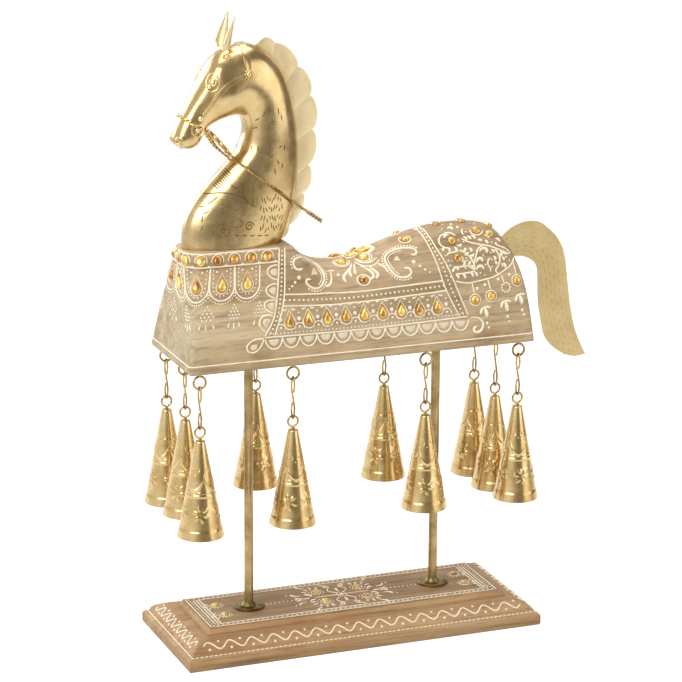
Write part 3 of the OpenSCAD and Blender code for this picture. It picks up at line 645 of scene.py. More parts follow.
class Look(Nodes):
    """A node material built around one Principled shader."""

    def __init__(self, name, **shader):
        self.material = bpy.data.materials.new(name)
        self.material.use_nodes = True
        super().__init__(self.material.node_tree)
        self.shader = self.tree.nodes["Principled BSDF"]
        for key, value in shader.items():
            self.shader.inputs[key.replace("_", " ").title().replace("Ior", "IOR")].default_value = value
        self.place = self.node("ShaderNodeTexCoord").outputs["Object"]

    def noise(self, scale, detail=4.0, roughness=0.55, stretch=None):
        vector = self.place
        if stretch is not None:
            vector = self.node("ShaderNodeMapping", Vector=vector, Scale=stretch).outputs["Vector"]
        form = {"Scale": scale, "Detail": detail, "Roughness": roughness}
        return self.node("ShaderNodeTexNoise", Vector=vector, **form).outputs["Fac"]

    def blend(self, factor, a, b, how="MIX"):
        made = self.node("ShaderNodeMix")
        made.data_type = "RGBA"
        made.blend_type = how
        self.feed(made.inputs[0], factor)
        self.feed(made.inputs[6], a)
        self.feed(made.inputs[7], b)
        return made.outputs[2]

    def times(self, a, b):
        return self.blend(1.0, a, b, "MULTIPLY")

    def colour(self, value):
        self.feed(self.shader.inputs["Base Color"], value)
        return self

    def rough(self, value):
        self.feed(self.shader.inputs["Roughness"], value)
        return self

    def relief(self, value, distance, strength=1.0):
        made = self.node("ShaderNodeBump", Height=value, Distance=distance, Strength=strength)
        self.tree.links.new(made.outputs["Normal"], self.shader.inputs["Normal"])
        return self


def brass(name, bright, dull, low, high, hammer, hammer_scale, spots):
    """Hand-worked brass: cloudy tone, uneven polish and shallow hammer marks."""
    look = Look(name, metallic=1.0)
    cloud = look.noise(38, 5, 0.6)
    fine = look.noise(420, 3, 0.6)
    tone = look.ramp(cloud, (0.36, screen(*dull)), (0.62, screen(*bright)))
    specks = look.ramp(fine, (0.27, 0.55), (0.27 + 0.2 * spots, 1.0))
    look.colour(look.times(tone, specks))
    look.rough(look.ramp(look.noise(120, 4), (0.3, low), (0.72, high)))
    return look.relief(look.noise(hammer_scale, 2, 0.4), hammer).material


def wood(name, pale, mid, dark, shaded=False):
    """Washed wood: grain along the body, pale wash in the pores, darker where the pattern's bands are."""
    look = Look(name, specular_ior_level=0.3)
    fibre = look.noise(1.0, 6, 0.62, (14, 330, 330))
    streak = look.noise(1.0, 4, 0.55, (6, 60, 60))
    pores = look.noise(1.0, 3, 0.6, (75, 760, 760))
    cloud = look.noise(22, 4, 0.6)
    tone = look.ramp(streak, (0.26, screen(*dark)), (0.46, screen(*mid)), (0.66, screen(*pale)))
    tone = look.blend(look.ramp(cloud, (0.4, 0.0), (0.68, 0.7)), tone, screen(*pale))
    lines = look.ramp(fibre, (0.3, 0.58), (0.47, 0.93), (0.62, 1.04))
    tone = look.times(tone, lines)
    tone = look.times(tone, look.ramp(pores, (0.3, 0.66), (0.43, 1.0)))
    if shaded:
        shade = look.node("ShaderNodeAttribute")
        shade.attribute_name = "shade"
        tone = look.times(tone, shade.outputs["Color"])
    look.colour(tone)
    look.rough(look.ramp(fibre, (0.3, 0.62), (0.7, 0.5)))
    return look.relief(fibre, 0.0003, 0.7).material


def cream(name, colour, worn):
    """Thick cream paint with a slightly uneven, worn top."""
    look = Look(name, specular_ior_level=0.35)
    rubbed = look.noise(160, 4, 0.6)
    look.colour(look.ramp(rubbed, (0.3, screen(*worn)), (0.5, screen(*colour))))
    look.rough(look.ramp(rubbed, (0.3, 0.7), (0.6, 0.5)))
    return look.relief(look.noise(700, 3), 0.0001, 0.6).material


def amber_glass(name):
    """Amber glass on a gold foil: deep orange in places, golden where the foil shines through."""
    look = Look(name, metallic=0.35, coat_weight=1.0, coat_roughness=0.03, coat_ior=1.6)
    foil = look.noise(130, 2, 0.5)
    look.colour(look.ramp(foil, (0.34, screen(150, 96, 14)), (0.5, screen(208, 154, 40)),
                          (0.68, screen(244, 212, 104))))
    look.rough(look.ramp(foil, (0.3, 0.18), (0.7, 0.3)))
    return look.relief(look.noise(150, 1), 0.0006, 0.8).material


# Bright and dull colour, polish from and to, depth and scale of the hammer marks, share of specks
HEAD_BRASS = brass("head_brass", (206, 182, 134), (180, 153, 105), 0.17, 0.3, 0.0003, 42, 0.25)
MANE_BRASS = brass("mane_brass", (232, 214, 172), (218, 197, 152), 0.4, 0.55, 0.0002, 60, 0.2)
TAIL_BRASS = brass("tail_brass", (198, 178, 132), (186, 164, 117), 0.42, 0.55, 0.0002, 60, 0.2)
BELL_BRASS = brass("bell_brass", (216, 190, 138), (184, 154, 100), 0.16, 0.28, 0.00012, 60, 0.35)
POST_BRASS = brass("post_brass", (182, 158, 112), (138, 115, 74), 0.3, 0.5, 0.0001, 90, 0.7)
FLANGE_BRASS = brass("flange_brass", (150, 128, 84), (104, 84, 50), 0.34, 0.55, 0.0001, 90, 0.9)
WIRE_BRASS = brass("wire_brass", (196, 164, 102), (134, 104, 58), 0.18, 0.36, 0.0001, 140, 0.8)
STUD_BRASS = brass("stud_brass", (232, 208, 154), (204, 174, 116), 0.14, 0.27, 0.0001, 90, 0.4)
STRAP_BRASS = brass("strap_brass", (212, 186, 134), (184, 154, 102), 0.22, 0.36, 0.0002, 120, 0.4)
NECK_CUT = brass("neck_cut", (136, 110, 66), (98, 76, 42), 0.5, 0.7, 0.0001, 120, 0.5)
PLATE_CUT = brass("plate_cut", (172, 148, 98), (140, 114, 70), 0.35, 0.5, 0.0001, 120, 0.6)
SCREW_BRASS = brass("screw_brass", (140, 118, 76), (92, 74, 44), 0.3, 0.5, 0.0001, 120, 0.8)
# Pale, middle and dark colour of the grain
BODY_WOOD = wood("body_wood", (206, 184, 150), (184, 158, 120), (156, 127, 91), True)
BASE_WOOD = wood("base_wood", (192, 161, 121), (176, 138, 97), (148, 111, 74), True)
PLAIN_WOOD = wood("plain_wood", (196, 160, 112), (174, 134, 88), (140, 104, 64))
CREAM = cream("cream_paint", (244, 232, 208), (228, 210, 178))
WASH = cream("pale_wash", (224, 208, 182), (208, 188, 158))
AMBER = amber_glass("amber_stone")


def wear(material, *nodes):
    """Gives solids that keep their shape a finished material."""
    for node in nodes:
        data = frame["nodes"][node].data
        data.materials.clear()
        data.materials.append(material)


def numbered(name):
    return [f"{name}_{k:02d}" for k in range(1, BELL_COUNT + 1)]


wear(POST_BRASS, "front_post", "rear_post")
wear(FLANGE_BRASS, "front_flange", "rear_flange")
wear(SCREW_BRASS, "flange_screws")
wear(PLAIN_WOOD, "neck_plug", "neck_dowel")
wear(TAIL_BRASS, "tail_plate")
wear(WIRE_BRASS, "screw_eyes", *numbered("clapper"))


# Base
def quarter(count, start=0):
    """Points of a quarter circle of radius 1."""
    return arc((0, 0), 1, 1, start, 90, count)


def base_profile():
    """Distance in from the edge and height, from the underside up to the panel."""
    low = [(SLAB_ROUND / 2 * (1 - s), SLAB_ROUND / 2 * (1 - c)) for c, s in quarter(5)]
    top = [(SLAB_ROUND * (1 - c), SLAB_H - SLAB_ROUND * (1 - s)) for c, s in quarter(7)]
    rise = [(LEDGE_W + OVOLO_W * (1 - c), SLAB_H + OVOLO_H * s) for c, s in quarter(18, 4)]
    step = [(LEDGE_W + OVOLO_W + STEP_W * s, BASE_H - PANEL_RISE * 0.75 * c) for c, s in quarter(6)]
    ledge_in = [(LEDGE_W - 0.4, SLAB_H)]
    panel_in = [(PANEL_IN + d, BASE_H) for d in (0.6, 6, 16, 26, 37)]
    return low + top + ledge_in + rise + step + panel_in


def base_ring(inset, z, n_x=60, n_y=24):
    hx, hy = BASE_X - inset, BASE_Y - inset
    xs, ys = np.linspace(-hx, hx, n_x + 1), np.linspace(-hy, hy, n_y + 1)
    ring = [(x, -hy, z) for x in xs[:-1]] + [(hx, y, z) for y in ys[:-1]]
    ring += [(x, hy, z) for x in xs[:0:-1]] + [(-hx, y, z) for y in ys[:0:-1]]
    return np.array(ring)


def shade_piece(piece, shade_of):
    """Stores a tint for each point, which the wood's material multiplies in."""
    mesh = piece.data
    layer = mesh.color_attributes.new("shade", "FLOAT_COLOR", "POINT")
    values = np.ones((len(mesh.vertices), 4), np.float32)
    for k, vertex in enumerate(mesh.vertices):
        values[k, :3] = shade_of(np.array(vertex.co) / MM)
    layer.data.foreach_set("color", values.ravel())


def base_shade(p):
    on_panel = p[2] > BASE_H - 0.5
    return (0.73, 0.71, 0.69) if on_panel else (0.97, 0.93, 0.88)


base = Shape()
base.loft([base_ring(*row) for row in base_profile()])
base_piece = base.piece("base_board_carved", BASE_WOOD, "base_wood", ["base_board"], sharp=28)
shade_piece(base_piece, base_shade)


# Body
def body_stations(step=1.9):
    """Places along the body where its outline has run an even way."""
    xs = np.linspace(FRONT_X + 0.3, REAR_X - 0.3, 6000)
    run = run_of(np.stack([xs, [top_z(x) for x in xs]], axis=1))
    return np.interp(np.linspace(0, run[-1], int(run[-1] / step)), run, xs)


# Lines of the painted pattern: x and height above the ground
FRONT_BAND = np.array([[(-91, 291), (-81.5, 305), (-76, 324), (-71.5, 347), (-69, 362)],
                       [(-82, 291), (-74.5, 307.5), (-69.5, 324), (-66, 347), (-64, 362)]])
REAR_BAND = np.array([[(90.5, 292), (80, 316.5), (75, 337), (71, 351.5), (66, 368)],
                      [(99, 292), (92, 312), (84, 335), (76.5, 351.5), (71, 368)]])
BORDER = np.array([[(-70, 324), (-37, 321.8), (-3, 320.2), (36, 321.6), (79, 323)],
                   [(-72, 314.6), (-38, 312.5), (-18, 311.8), (22, 312.4), (81, 314.6)]])
SWAG = [(90.5, 321.5), (101, 319.2), (110.5, 319.8), (120.5, 321.2), (129, 323), (142.5, 329.5),
        (150, 336)]
HEM_Z = 289.6
HEM_FROM = -91
HEM_TO = 99
HEM_SCALLOPS = 12
COLLAR_TOP = 97.6
COLLAR_LOW = 87
SHADE_PLAIN = np.array([1.0, 0.985, 0.96])
# Tint of the body's front end, paler and greyer: partly whitewash, partly painted light where it faces the
# key lamp
FRONT_WASH_AND_LIGHT = np.array([0.98, 1.02, 1.06])
SHADE_BAND = np.array([0.74, 0.69, 0.63])
SHADE_BLANKET = np.array([0.89, 0.9, 0.91])
SHADE_RUMP = np.array([0.72, 0.69, 0.66])
SHADE_SADDLE = np.array([0.82, 0.78, 0.75])


def band_x(line, z):
    xs, zs = np.transpose(line)
    return np.interp(z, zs, xs)


def line_z(line, x):
    return np.interp(x, *np.transpose(line))


def body_shade(p):
    x, z = p[0], p[2]
    if z < HEM_Z or x < band_x(FRONT_BAND[0], z):
        if COLLAR_LOW < z - BODY_Z < COLLAR_TOP and x < band_x(FRONT_BAND[0], z):
            return SHADE_BAND * 1.12
        # Painted light with whitewash: the front end is tinted paler and greyer, fading into the plain
        # tint along the flank
        return mix(FRONT_WASH_AND_LIGHT, SHADE_PLAIN, ease((x - FRONT_X - 6) / 14))
    if x > band_x(REAR_BAND[0], z):
        if x < band_x(REAR_BAND[1], z):
            return SHADE_BAND
        return SHADE_RUMP if z > line_z(SWAG, x) else SHADE_PLAIN * 0.97
    if x < band_x(FRONT_BAND[1], z):
        return SHADE_BAND
    if z > line_z(BORDER[0], x):
        return SHADE_SADDLE
    return SHADE_BAND if z > line_z(BORDER[1], x) else SHADE_BLANKET


def body_rings():
    rings = []
    for x in body_stations():
        half = section(x, 30, 26)
        rings.append(np.vstack([half, half[::-1] * MIRROR]))
    return rings


body = Shape()
body.loft(body_rings())
body_piece = body.piece("horse_body_carved", BODY_WOOD, "body_wood", ["horse_body"])
shade_piece(body_piece, body_shade)
rear_face = facing(body_piece, (-1, 0, 0))


# Stones
STONE_H = 2.4
COLLAR_R = 4
ROUND_R = 3.75
BASE_STONE_R = 3.25
DROP_R = 4
DROP_TIP = 8.6
COLLAR_PITCH = 15
COLLAR_ROUNDS = [k * COLLAR_PITCH for k in range(-6, 7)]
COLLAR_ROUND_Z = 92
DROP_PITCH = 23
COLLAR_DROPS = [(k + 0.5) * DROP_PITCH for k in range(-4, 4)]
COLLAR_DROP_Z = 70.5
BLANKET_FROM = -67
BLANKET_PITCH = 17.2
BLANKET_Z = BODY_Z + 36
BLANKET_COUNT = 9
FLOWER_X = 5
RIDGE_DROP_X = 19.5
PETALS = [(13, 71, 33), (-7, 76, -45)]
SADDLE_ROUNDS = [(6, 32), (53, 72)]
RUMP_ROUNDS = [(93, 40), (95, 14), (119, 56), (130, 46)]
RUMP_HANGERS = [(107, 304.5), (122.5, 306.5), (149, 317.5)]
RIDGE_ROUNDS = [86, 110.5, 137.5]
MIDDLE_STONE = np.array([20, 12])
END_STONE = np.array([116, 12])
QUARTERS = [(-1, -1), (-1, 1), (1, -1), (1, 1)]


def drop_outline(centre, r, tip, n=18):
    """Outline of a drop with a round of radius r and its tip above."""
    a = math.degrees(math.acos(r / tip))
    low = arc(centre, r, r, 90 + a, 450 - a, n)
    return np.vstack([low, [(centre[0], centre[1] + tip)], low[:1]])


def round_stone(shape, on, centre, r):
    shape.stone(on, arc(centre, r, r, 0, 345, 24), centre, STONE_H)


def drop_stone(shape, on, centre, turn=0):
    outline = resample(drop_outline((0, 0), DROP_R, DROP_TIP), 1.1)[:-1]
    shape.stone(on, placed(outline, centre, turn), placed([(0, 1.5)], centre, turn)[0], STONE_H + 0.6)


def collar_gems(shape):
    for p in COLLAR_ROUNDS:
        round_stone(shape, collar(COLLAR_ROUND_Z), (p, COLLAR_ROUND_Z), COLLAR_R)
    for p in COLLAR_DROPS:
        drop_stone(shape, collar(COLLAR_DROP_Z), (p, COLLAR_DROP_Z))


def blanket_gems(shape):
    for on in (near, far):
        for k in range(BLANKET_COUNT):
            x = BLANKET_FROM + k * BLANKET_PITCH
            drop_stone(shape, on, (x, up(x, BLANKET_Z)))


def saddle_gems(shape):
    round_stone(shape, near, on_ridge(FLOWER_X), COLLAR_R)
    drop_stone(shape, near, on_ridge(RIDGE_DROP_X), 90)
    for on in (near, far):
        for x, a, turn in PETALS:
            drop_stone(shape, on, on_crown(x, a), turn)
        for x, a in SADDLE_ROUNDS:
            round_stone(shape, on, on_crown(x, a), ROUND_R)


def rump_gems(shape):
    for x in RIDGE_ROUNDS:
        round_stone(shape, near, on_ridge(x), ROUND_R)
    for on in (near, far):
        for x, a in RUMP_ROUNDS:
            round_stone(shape, on, on_crown(x, a), ROUND_R)
        for x, z in RUMP_HANGERS:
            round_stone(shape, on, (x, up(x, z)), ROUND_R)


def base_gems(shape):
    for place in (MIDDLE_STONE, END_STONE):
        for signs in QUARTERS:
            round_stone(shape, panel, place * signs, BASE_STONE_R)


for place, gems in (("collar", collar_gems), ("blanket", blanket_gems), ("saddle", saddle_gems),
                    ("rump", rump_gems), ("base", base_gems)):
    stones = Shape()
    gems(stones)
    stones.piece(place + "_gems", AMBER, "amber_glass", [place + "_stones"], sharp=75)


# Painted motifs
LINE = 1.4
FINE = 1.05
DROP_RIM = (5.3, 11.2)
STONE_RING_R = 4.4
TASSEL_Z = 55.5
LOWER_LINE_Z = 7.5
LEAF_SWELL = (0.9, 1, 0.85, 0.6, 0.35)
COMMA_SWELL = (1, 0.85, 0.5, 0.25)


def flank_path(points):
    """A smooth path on the flank through points given by x and height."""
    return at(resample(spline(points, 8), 1.5))


class Brush:
    """Paints on one sheet, in the coordinates of that sheet: lines and drops, or fields of wash."""

    def __init__(self, on, paint, wash=None):
        self.on = on
        self.paint = paint
        self.wash = wash

    def line(self, path, width, **form):
        self.paint.bead(self.on, path, width, **form)

    def dots(self, centres, r):
        self.paint.dot(self.on, centres, r)

    def field(self, outline, height=0.25):
        self.wash.patch(self.on, outline, height)

    def stroke(self, points, width=LINE, **form):
        self.line(flank_path(points), width, **form)

    def comma(self, head, tip, bend, width):
        """A tapered stroke with a round head."""
        head, tip = np.asarray(head, float), np.asarray(tip, float)
        side = (tip - head)[::-1] * np.array([-1, 1])
        path = spline([head, mix(head, tip, 0.5) + side * bend, tip], 5)
        self.line(path, width, ends=0.55, swell=COMMA_SWELL)

    def leaf(self, points, width):
        """A tapered stroke on the flank that follows points from its round head to its tip."""
        self.stroke(points, width, ends=0.55, swell=LEAF_SWELL)

    def dot_row(self, path, pitch, r):
        self.dots(resample(path, pitch), r)

    def ring(self, centre, r):
        self.line(arc(centre, r, r, 0, 360, 22), FINE, ends=1)

    def dot_ring(self, centre, r, count, size):
        self.dots(arc(centre, r, r, 0, 360 - 360 / count, count), size)

    def rope(self, path, pitch, along, lean, width, flip=1):
        """Slanted dashes along a straight path."""
        d = unit(path[-1] - path[0])
        half = d * along + d[::-1] * (flip * lean, lean)
        for p in resample(path, pitch)[:-1]:
            self.line([p - half, p, p + half], width)

    def scroll(self, origin, turn, size, flip=1):
        """A curl of paint with a bud at its inner end."""
        curl = np.vstack([[(1.9, -1.6), (1.3, -0.8)], spiral((0, 0), 1, 0.28, 1.75, 26)])
        path = placed(curl, origin, turn, size, flip)
        self.line(resample(path, 1.1), FINE)
        self.dots(path[-1:], 1.0)


def paint_bands(brush):
    """The upright bands in front of and behind the saddle: two lines with a row of dots."""
    for band in (FRONT_BAND, REAR_BAND):
        for line in band:
            brush.stroke(line)
        brush.dot_row(flank_path(mix(*band, 0.5))[2:-2], 3.9, 1.0)
    for high, low in ((348, 336.5), (333, 321.5), (320, 309.5), (307, 294.5)):
        ends = at([(band_x(FRONT_BAND[0], z) - 0.6, z) for z in (low, high)])
        rise = ends[1] - ends[0]
        middle, half = ends.mean(axis=0), np.linalg.norm(rise) / 2
        turn = math.degrees(math.atan2(rise[1], rise[0]))
        brush.line(placed(arc((0, 0), half, 9.6, 0, 180, 18), middle, turn), LINE)
        brush.field(placed(arc((0, 1), half * 0.55, 6, 0, 180, 12), middle, turn))


# Ends of the blanket's hem: x and height
HEM_LOOP = [(-92, 289.5), (-101, 289.2), (-107.5, 285), (-107, 280), (-101, 279), (-95.5, 283), (-92, 289)]
HEM_CURL = [(106, 282), (103, 280), (105.5, 277), (110.5, 278.5), (112.5, 284.5), (107.5, 289.5),
            (100.5, 290)]


def paint_blanket(brush):
    """Border of the blanket: lines, dot rows, drops in their outlines, arches and hanging scallops."""
    hem = [(HEM_FROM, HEM_Z + 0.6), (0, HEM_Z - 0.4), (HEM_TO, HEM_Z + 1.6)]
    for line in (*BORDER, hem):
        brush.stroke(line)
    brush.dot_row(flank_path(mix(*BORDER, 0.5))[1:-1], 4.2, 1.05)
    brush.dot_row(flank_path([(x, z + 2.6) for x, z in hem])[3:-3], 3.4, 0.8)
    for k in range(-1, BLANKET_COUNT + 1):
        x = BLANKET_FROM + k * BLANKET_PITCH
        g = up(x, BLANKET_Z)
        if 0 <= k < BLANKET_COUNT:
            brush.line(drop_outline((x, g), *DROP_RIM), LINE)
            for s in (-1, 1):
                brush.comma((x + s * 5.6, g + 11.6), (x + s * 1.4, g + 13.4), s * 0.2, 1.9)
        if k < BLANKET_COUNT:
            middle = x + BLANKET_PITCH / 2
            brush.dots([(middle, g + 3.4), (middle, g + 8.6)], (1.9, 1.0))
            brush.line(arc((middle, g - 5.2), 4.4, 5.2, 0, 180), FINE)
            brush.dots([(middle, g - 3.4)], 1.15)
    width = (HEM_TO - HEM_FROM) / HEM_SCALLOPS
    for k in range(HEM_SCALLOPS):
        x = HEM_FROM + (k + 0.5) * width
        g = up(x, HEM_Z - 0.3)
        brush.line(arc((x, g), width / 2 - 0.2, 9.6, 180, 360), LINE)
        brush.field(arc((x, g - 1), width / 2 - 3.2, 5.8, 180, 360, 12))
    brush.stroke(HEM_LOOP)
    brush.field(at([(-98, 285.5), (-103, 285.5), (-105.5, 282.5), (-103, 280.5), (-99, 281.5)]), 0.35)
    brush.leaf(HEM_CURL, 2.6)


# Rims of the paisleys and the leaves between them: x and height
LEFT_PAISLEY = [(-50, 343.5), (-55, 343), (-58, 347), (-56.5, 351.5), (-51, 352.5), (-45, 350), (-38, 346),
                (-31.5, 341.5), (-28.5, 335.5), (-31, 330), (-37, 326.5), (-43, 327), (-48, 331),
                (-47.5, 334.5), (-43.5, 334)]
RIGHT_PAISLEY = [(53, 345.8), (57.5, 345.6), (58.5, 348.8), (52.5, 350.5), (43.5, 350), (34, 347),
                 (29.5, 343), (30.5, 338), (33.5, 332.5), (38.5, 329.2), (45.5, 328.8), (50, 332),
                 (48.5, 335.5), (44, 336)]
SIDE_LEAVES = [[(-30, 326.5), (-25.5, 327.5), (-22.5, 331.5), (-21, 336.5)],
               [(-17.5, 336.5), (-24.5, 336.8)], [(22.5, 340), (27, 337.5), (29, 333)]]
BUD_LEAVES = [[(-10, 328), (-11, 331.5), (-7, 334.5), (-1, 338.5)], [(-3.5, 331.5), (-4, 335), (1, 340)],
              [(1, 333), (1, 336), (3, 340)], [(12, 329), (16, 331), (14, 335), (7, 339)],
              [(17.5, 329), (20, 333), (14, 338)]]


def paisley(brush, rim, flip, heart, trail):
    """A curled leaf with a beaded edge, a pale heart and a trail of shrinking dots."""
    path = flank_path(rim)
    brush.line(path, LINE * 1.5)
    brush.dot_row(beside(path, 2.3 * flip)[6:-8], 2.7, 0.95)
    brush.line(beside(path, -2.6 * flip)[14:-14], FINE * 0.8)
    brush.field(resample(at([*heart, heart[0]]), 1.6)[:-1], 0.5)
    brush.dots(at(trail), (1.9, 1.4, 1.15, 0.95))


def paint_saddle(brush):
    """Two paisleys with a flower of stones, leaves and a drooping bud between them."""
    paisley(brush, LEFT_PAISLEY, 1, [(-37.5, 341.5), (-43, 337), (-34.5, 336)],
            [(-54.5, 336.5), (-58.5, 333), (-61.5, 330), (-64.5, 328)])
    paisley(brush, RIGHT_PAISLEY, -1, [(40.5, 345.5), (36, 341.5), (43, 341.5)],
            [(54, 340), (59, 336.5), (63, 333.5), (67, 331)])
    for points in SIDE_LEAVES:
        brush.leaf(points, 2.4)
    for x, a, turn in (*PETALS, (RIDGE_DROP_X, 90, 90)):
        for rim in (DROP_RIM, (7.2, 14.4)):
            brush.line(placed(drop_outline((0, 0), *rim), on_crown(x, a), turn), FINE)
    brush.ring(on_ridge(FLOWER_X), 5.2)
    brush.stroke([(6, 343), (11, 340.6), (17, 341), (24, 344.4)], FINE)
    brush.stroke([(3.5, 341), (9.5, 338.6), (18, 338.8), (25.5, 342.6)], LINE)
    bud, rear = [on_crown(*place) for place in SADDLE_ROUNDS]
    brush.line(arc(bud, 5.6, 5.2, 0, 360, 22), LINE, ends=1)
    for points in BUD_LEAVES:
        brush.leaf(points, 3.0)
    brush.field(at([(-13, 333.5), (-15, 335), (-17, 333.5), (-15, 332)]), 0.4)
    brush.ring(rear, 5.0)


# Lines of the rump's pattern and its leaves, each from a round head to a tip: x and height
RUMP_LINES = [
    [(98.5, 357.5), (92.5, 360), (84.5, 358), (81.5, 354.8), (82, 351.5), (85.5, 349.2), (90, 348.6)],
    [(110, 329.5), (110, 334.5), (112.5, 340.5), (116.5, 346.8), (120.5, 348.5)],
    [(131.5, 345), (133.5, 342), (135, 337), (132.5, 331), (129.5, 327.5), (131.5, 324.5)],
    [(125.5, 338.5), (123.2, 335.6), (123, 332.6), (124.8, 329.4), (124.5, 326.6)],
    [(102.5, 355), (110, 351.6), (118.5, 349.6), (127.5, 347.6), (134, 345), (143.5, 340.5)],
    [(132, 349.6), (137, 346.8), (143, 344), (147, 340.2)], [(136, 343), (140.5, 340.6), (147, 340)],
    [(113.8, 361), (113.2, 358.8), (115.5, 357.2), (119.5, 356.8), (123.2, 358), (125, 359.8)],
    [(98.4, 342), (100, 339.5), (98.4, 336.6)], [(107, 362), (105.2, 359.8), (106, 357.4)],
    [(98, 346.5), (103, 344), (107.5, 339.5), (110, 333)],
    [(90, 333.5), (96, 333), (102.5, 333.6), (109.6, 329.6)],
    [(91, 327.6), (97.5, 327.4), (105, 327.8), (110, 328.6)],
    [(85, 343), (88.6, 345), (94.6, 345.4), (98, 346.5)]]
RUMP_LEAVES = [
    [(87, 356.6), (89.4, 358.4), (92.2, 358.2)], [(101.4, 350.8), (99.6, 349.6), (97, 350.6)],
    [(95.2, 346), (95.6, 348), (94, 349.2)], [(88.6, 346), (89.6, 348), (87.6, 348.8)],
    [(83, 346.6), (83.6, 348.6), (86, 349)], [(104.6, 347.6), (103.4, 345.8), (101, 344.8)],
    [(106, 344), (104.6, 342.6), (102, 342.2)], [(109, 344.2), (109.6, 346.6), (107.4, 347.4)],
    [(111, 342.6), (109.4, 341), (106, 341.4)], [(99.8, 334.2), (101.4, 336.2), (99.8, 338)],
    [(94.4, 330.6), (93, 332.8), (90.4, 332.6)], [(88.8, 329.4), (89.6, 331.6), (91.6, 332.8)],
    [(101.2, 331), (100.6, 333.2), (98.4, 333.4)], [(106.8, 336.6), (105.2, 335), (104.4, 332.8)],
    [(106.8, 334), (108, 332), (108.6, 329.6)], [(93.6, 323.8), (92.8, 326.2), (90.8, 327.2)],
    [(100, 323.2), (99.4, 325.6), (97.4, 326.8)], [(107.4, 324.2), (107, 326.2), (105.2, 327.2)],
    [(111.6, 324), (111, 326.4), (109, 327.6)],
    [(123.4, 342.6), (123.6, 345.4), (120, 346.6), (116.6, 344)],
    [(118, 335.8), (117.4, 338.2), (114.2, 338.4), (112, 335)],
    [(118.4, 329.6), (116.4, 332.2), (113, 331.8), (111, 329.2)],
    [(130, 342.2), (129.8, 344.2), (128, 345.2)], [(130, 336), (130.6, 338), (129.2, 339.8)],
    [(130.8, 332.2), (131, 334.2), (129.6, 335.4)], [(136.6, 338.6), (136.8, 340.4), (135.4, 341.6)],
    [(138.4, 335.2), (138.6, 337.2), (136.8, 338.2)], [(136.6, 330.2), (136.8, 332), (135.4, 333.2)],
    [(138.8, 329), (139.4, 331.6), (137.8, 333.2)], [(107.8, 353.8), (106.8, 355.6), (104.8, 356)],
    [(111.4, 354), (110.6, 355.8), (108.6, 356.4)], [(115.6, 354.2), (114.8, 356), (112.8, 356.8)],
    [(126, 349.8), (125.6, 351.6), (124, 352.6)], [(121, 352), (119.6, 353.4), (117.4, 353)],
    [(98, 362), (96, 363.4), (93, 362.6)], [(129, 354), (127.6, 356), (125, 356.4)],
    [(139, 350), (137.6, 352), (135, 352.6)]]
RUMP_DOTS = [
    (84, 343), (86, 339), (87, 335), (92.5, 340), (103, 337.6), (114, 345), (119.6, 341), (127, 342),
    (127, 336.6), (120.6, 333), (104, 352.4), (90, 353.4), (94.5, 352), (99.6, 354), (88, 362.6),
    (91.5, 365), (109, 359.6), (118, 362), (122, 364), (130, 350.6), (134, 349.8), (114.6, 326.6),
    (118.6, 324.6), (86, 325.6), (144, 335), (141, 338), (126.6, 331), (103.6, 340), (96.8, 341)]
TASSELS = [(115, 298), (135, 301.5), (149.5, 306)]


def paint_rump(brush):
    """A leaf, vines and petals round the stones, over a swag with hanging stones and drops."""
    brush.stroke(SWAG)
    for points in RUMP_LINES:
        brush.stroke(points, LINE * 1.1)
    brush.dots(at(RUMP_DOTS), 0.85)
    for points in RUMP_LEAVES:
        brush.leaf(points, 3.2)
    for x, z in RUMP_HANGERS:
        g = up(x, z)
        brush.ring((x, g), 5.0)
        top = up(x - 2, line_z(SWAG, x - 2))
        brush.line(np.linspace((x, g + 5.2), (x - 1.5, top), 6), LINE)
    brush.dots(at([(103, 363), (99, 365), (110, 314), (117.7, 316.2), (131, 320), (142, 323)]), 1.5)
    brush.stroke([(134.5, 323.5), (136, 317)])
    brush.dot_ring((137.5, up(137.5, 312.5)), 4, 10, 1.0)
    for x, z in TASSELS:
        brush.leaf([(x - 4, z - 6), (x - 2.4, z - 2), (x, z)], 3.0)
        brush.leaf([(x + 2, z - 9), (x + 1.4, z - 4), (x, z)], 4.2)
        brush.leaf([(x + 6, z - 1.2), (x + 3, z - 0.4), (x, z)], 2.6)
        brush.dots(at([(x + 1.6, z - 14), (x + 2.8, z - 18)]), (1.5, 1.2))


def paint_collar(shape):
    """Collar: two lines with ringed stones, and scallops with drops, fringes and tassels below."""
    brush = Brush(collar(COLLAR_ROUND_Z), shape)
    for reach, z in ((101, COLLAR_TOP), (100.5, COLLAR_LOW)):
        brush.line([(p, z) for p in np.linspace(-reach, reach, 140)], LINE)
    for p in COLLAR_ROUNDS:
        brush.line(arc((p, COLLAR_ROUND_Z), 5.3, 4.9, -20, 200, 18), FINE)
        beside_p = p + COLLAR_PITCH / 2
        brush.dots([(beside_p, COLLAR_TOP - 0.3), (beside_p, COLLAR_LOW + 0.6)], 1.15)
    brush = Brush(collar(COLLAR_DROP_Z), shape)
    for p in COLLAR_DROPS:
        brush.line(drop_outline((p, COLLAR_DROP_Z), 5.3, 11.3), FINE)
        for half, low, top, size in ((11.2, 59.5, 86, 0), (7.9, 63.4, 84.5, 0.8)):
            bend = arc((p, low + half), half, half, 180, 360, 18)
            route = np.vstack([[(p - half, top)], bend, [(p + half, top)]])
            if size:
                brush.dot_row(route, 3.4, size)
            else:
                brush.line(resample(route, 1.3), LINE)
        brush.dots([(p - 4.4, 83), (p + 4.4, 83)], 1.1)
        brush.dots(arc((p, 70.6), 13.4, 13.6, 205, 335, 14), 0.75)
        paint_tassel(brush, p + DROP_PITCH / 2)
    paint_tassel(brush, COLLAR_DROPS[0] - DROP_PITCH / 2)


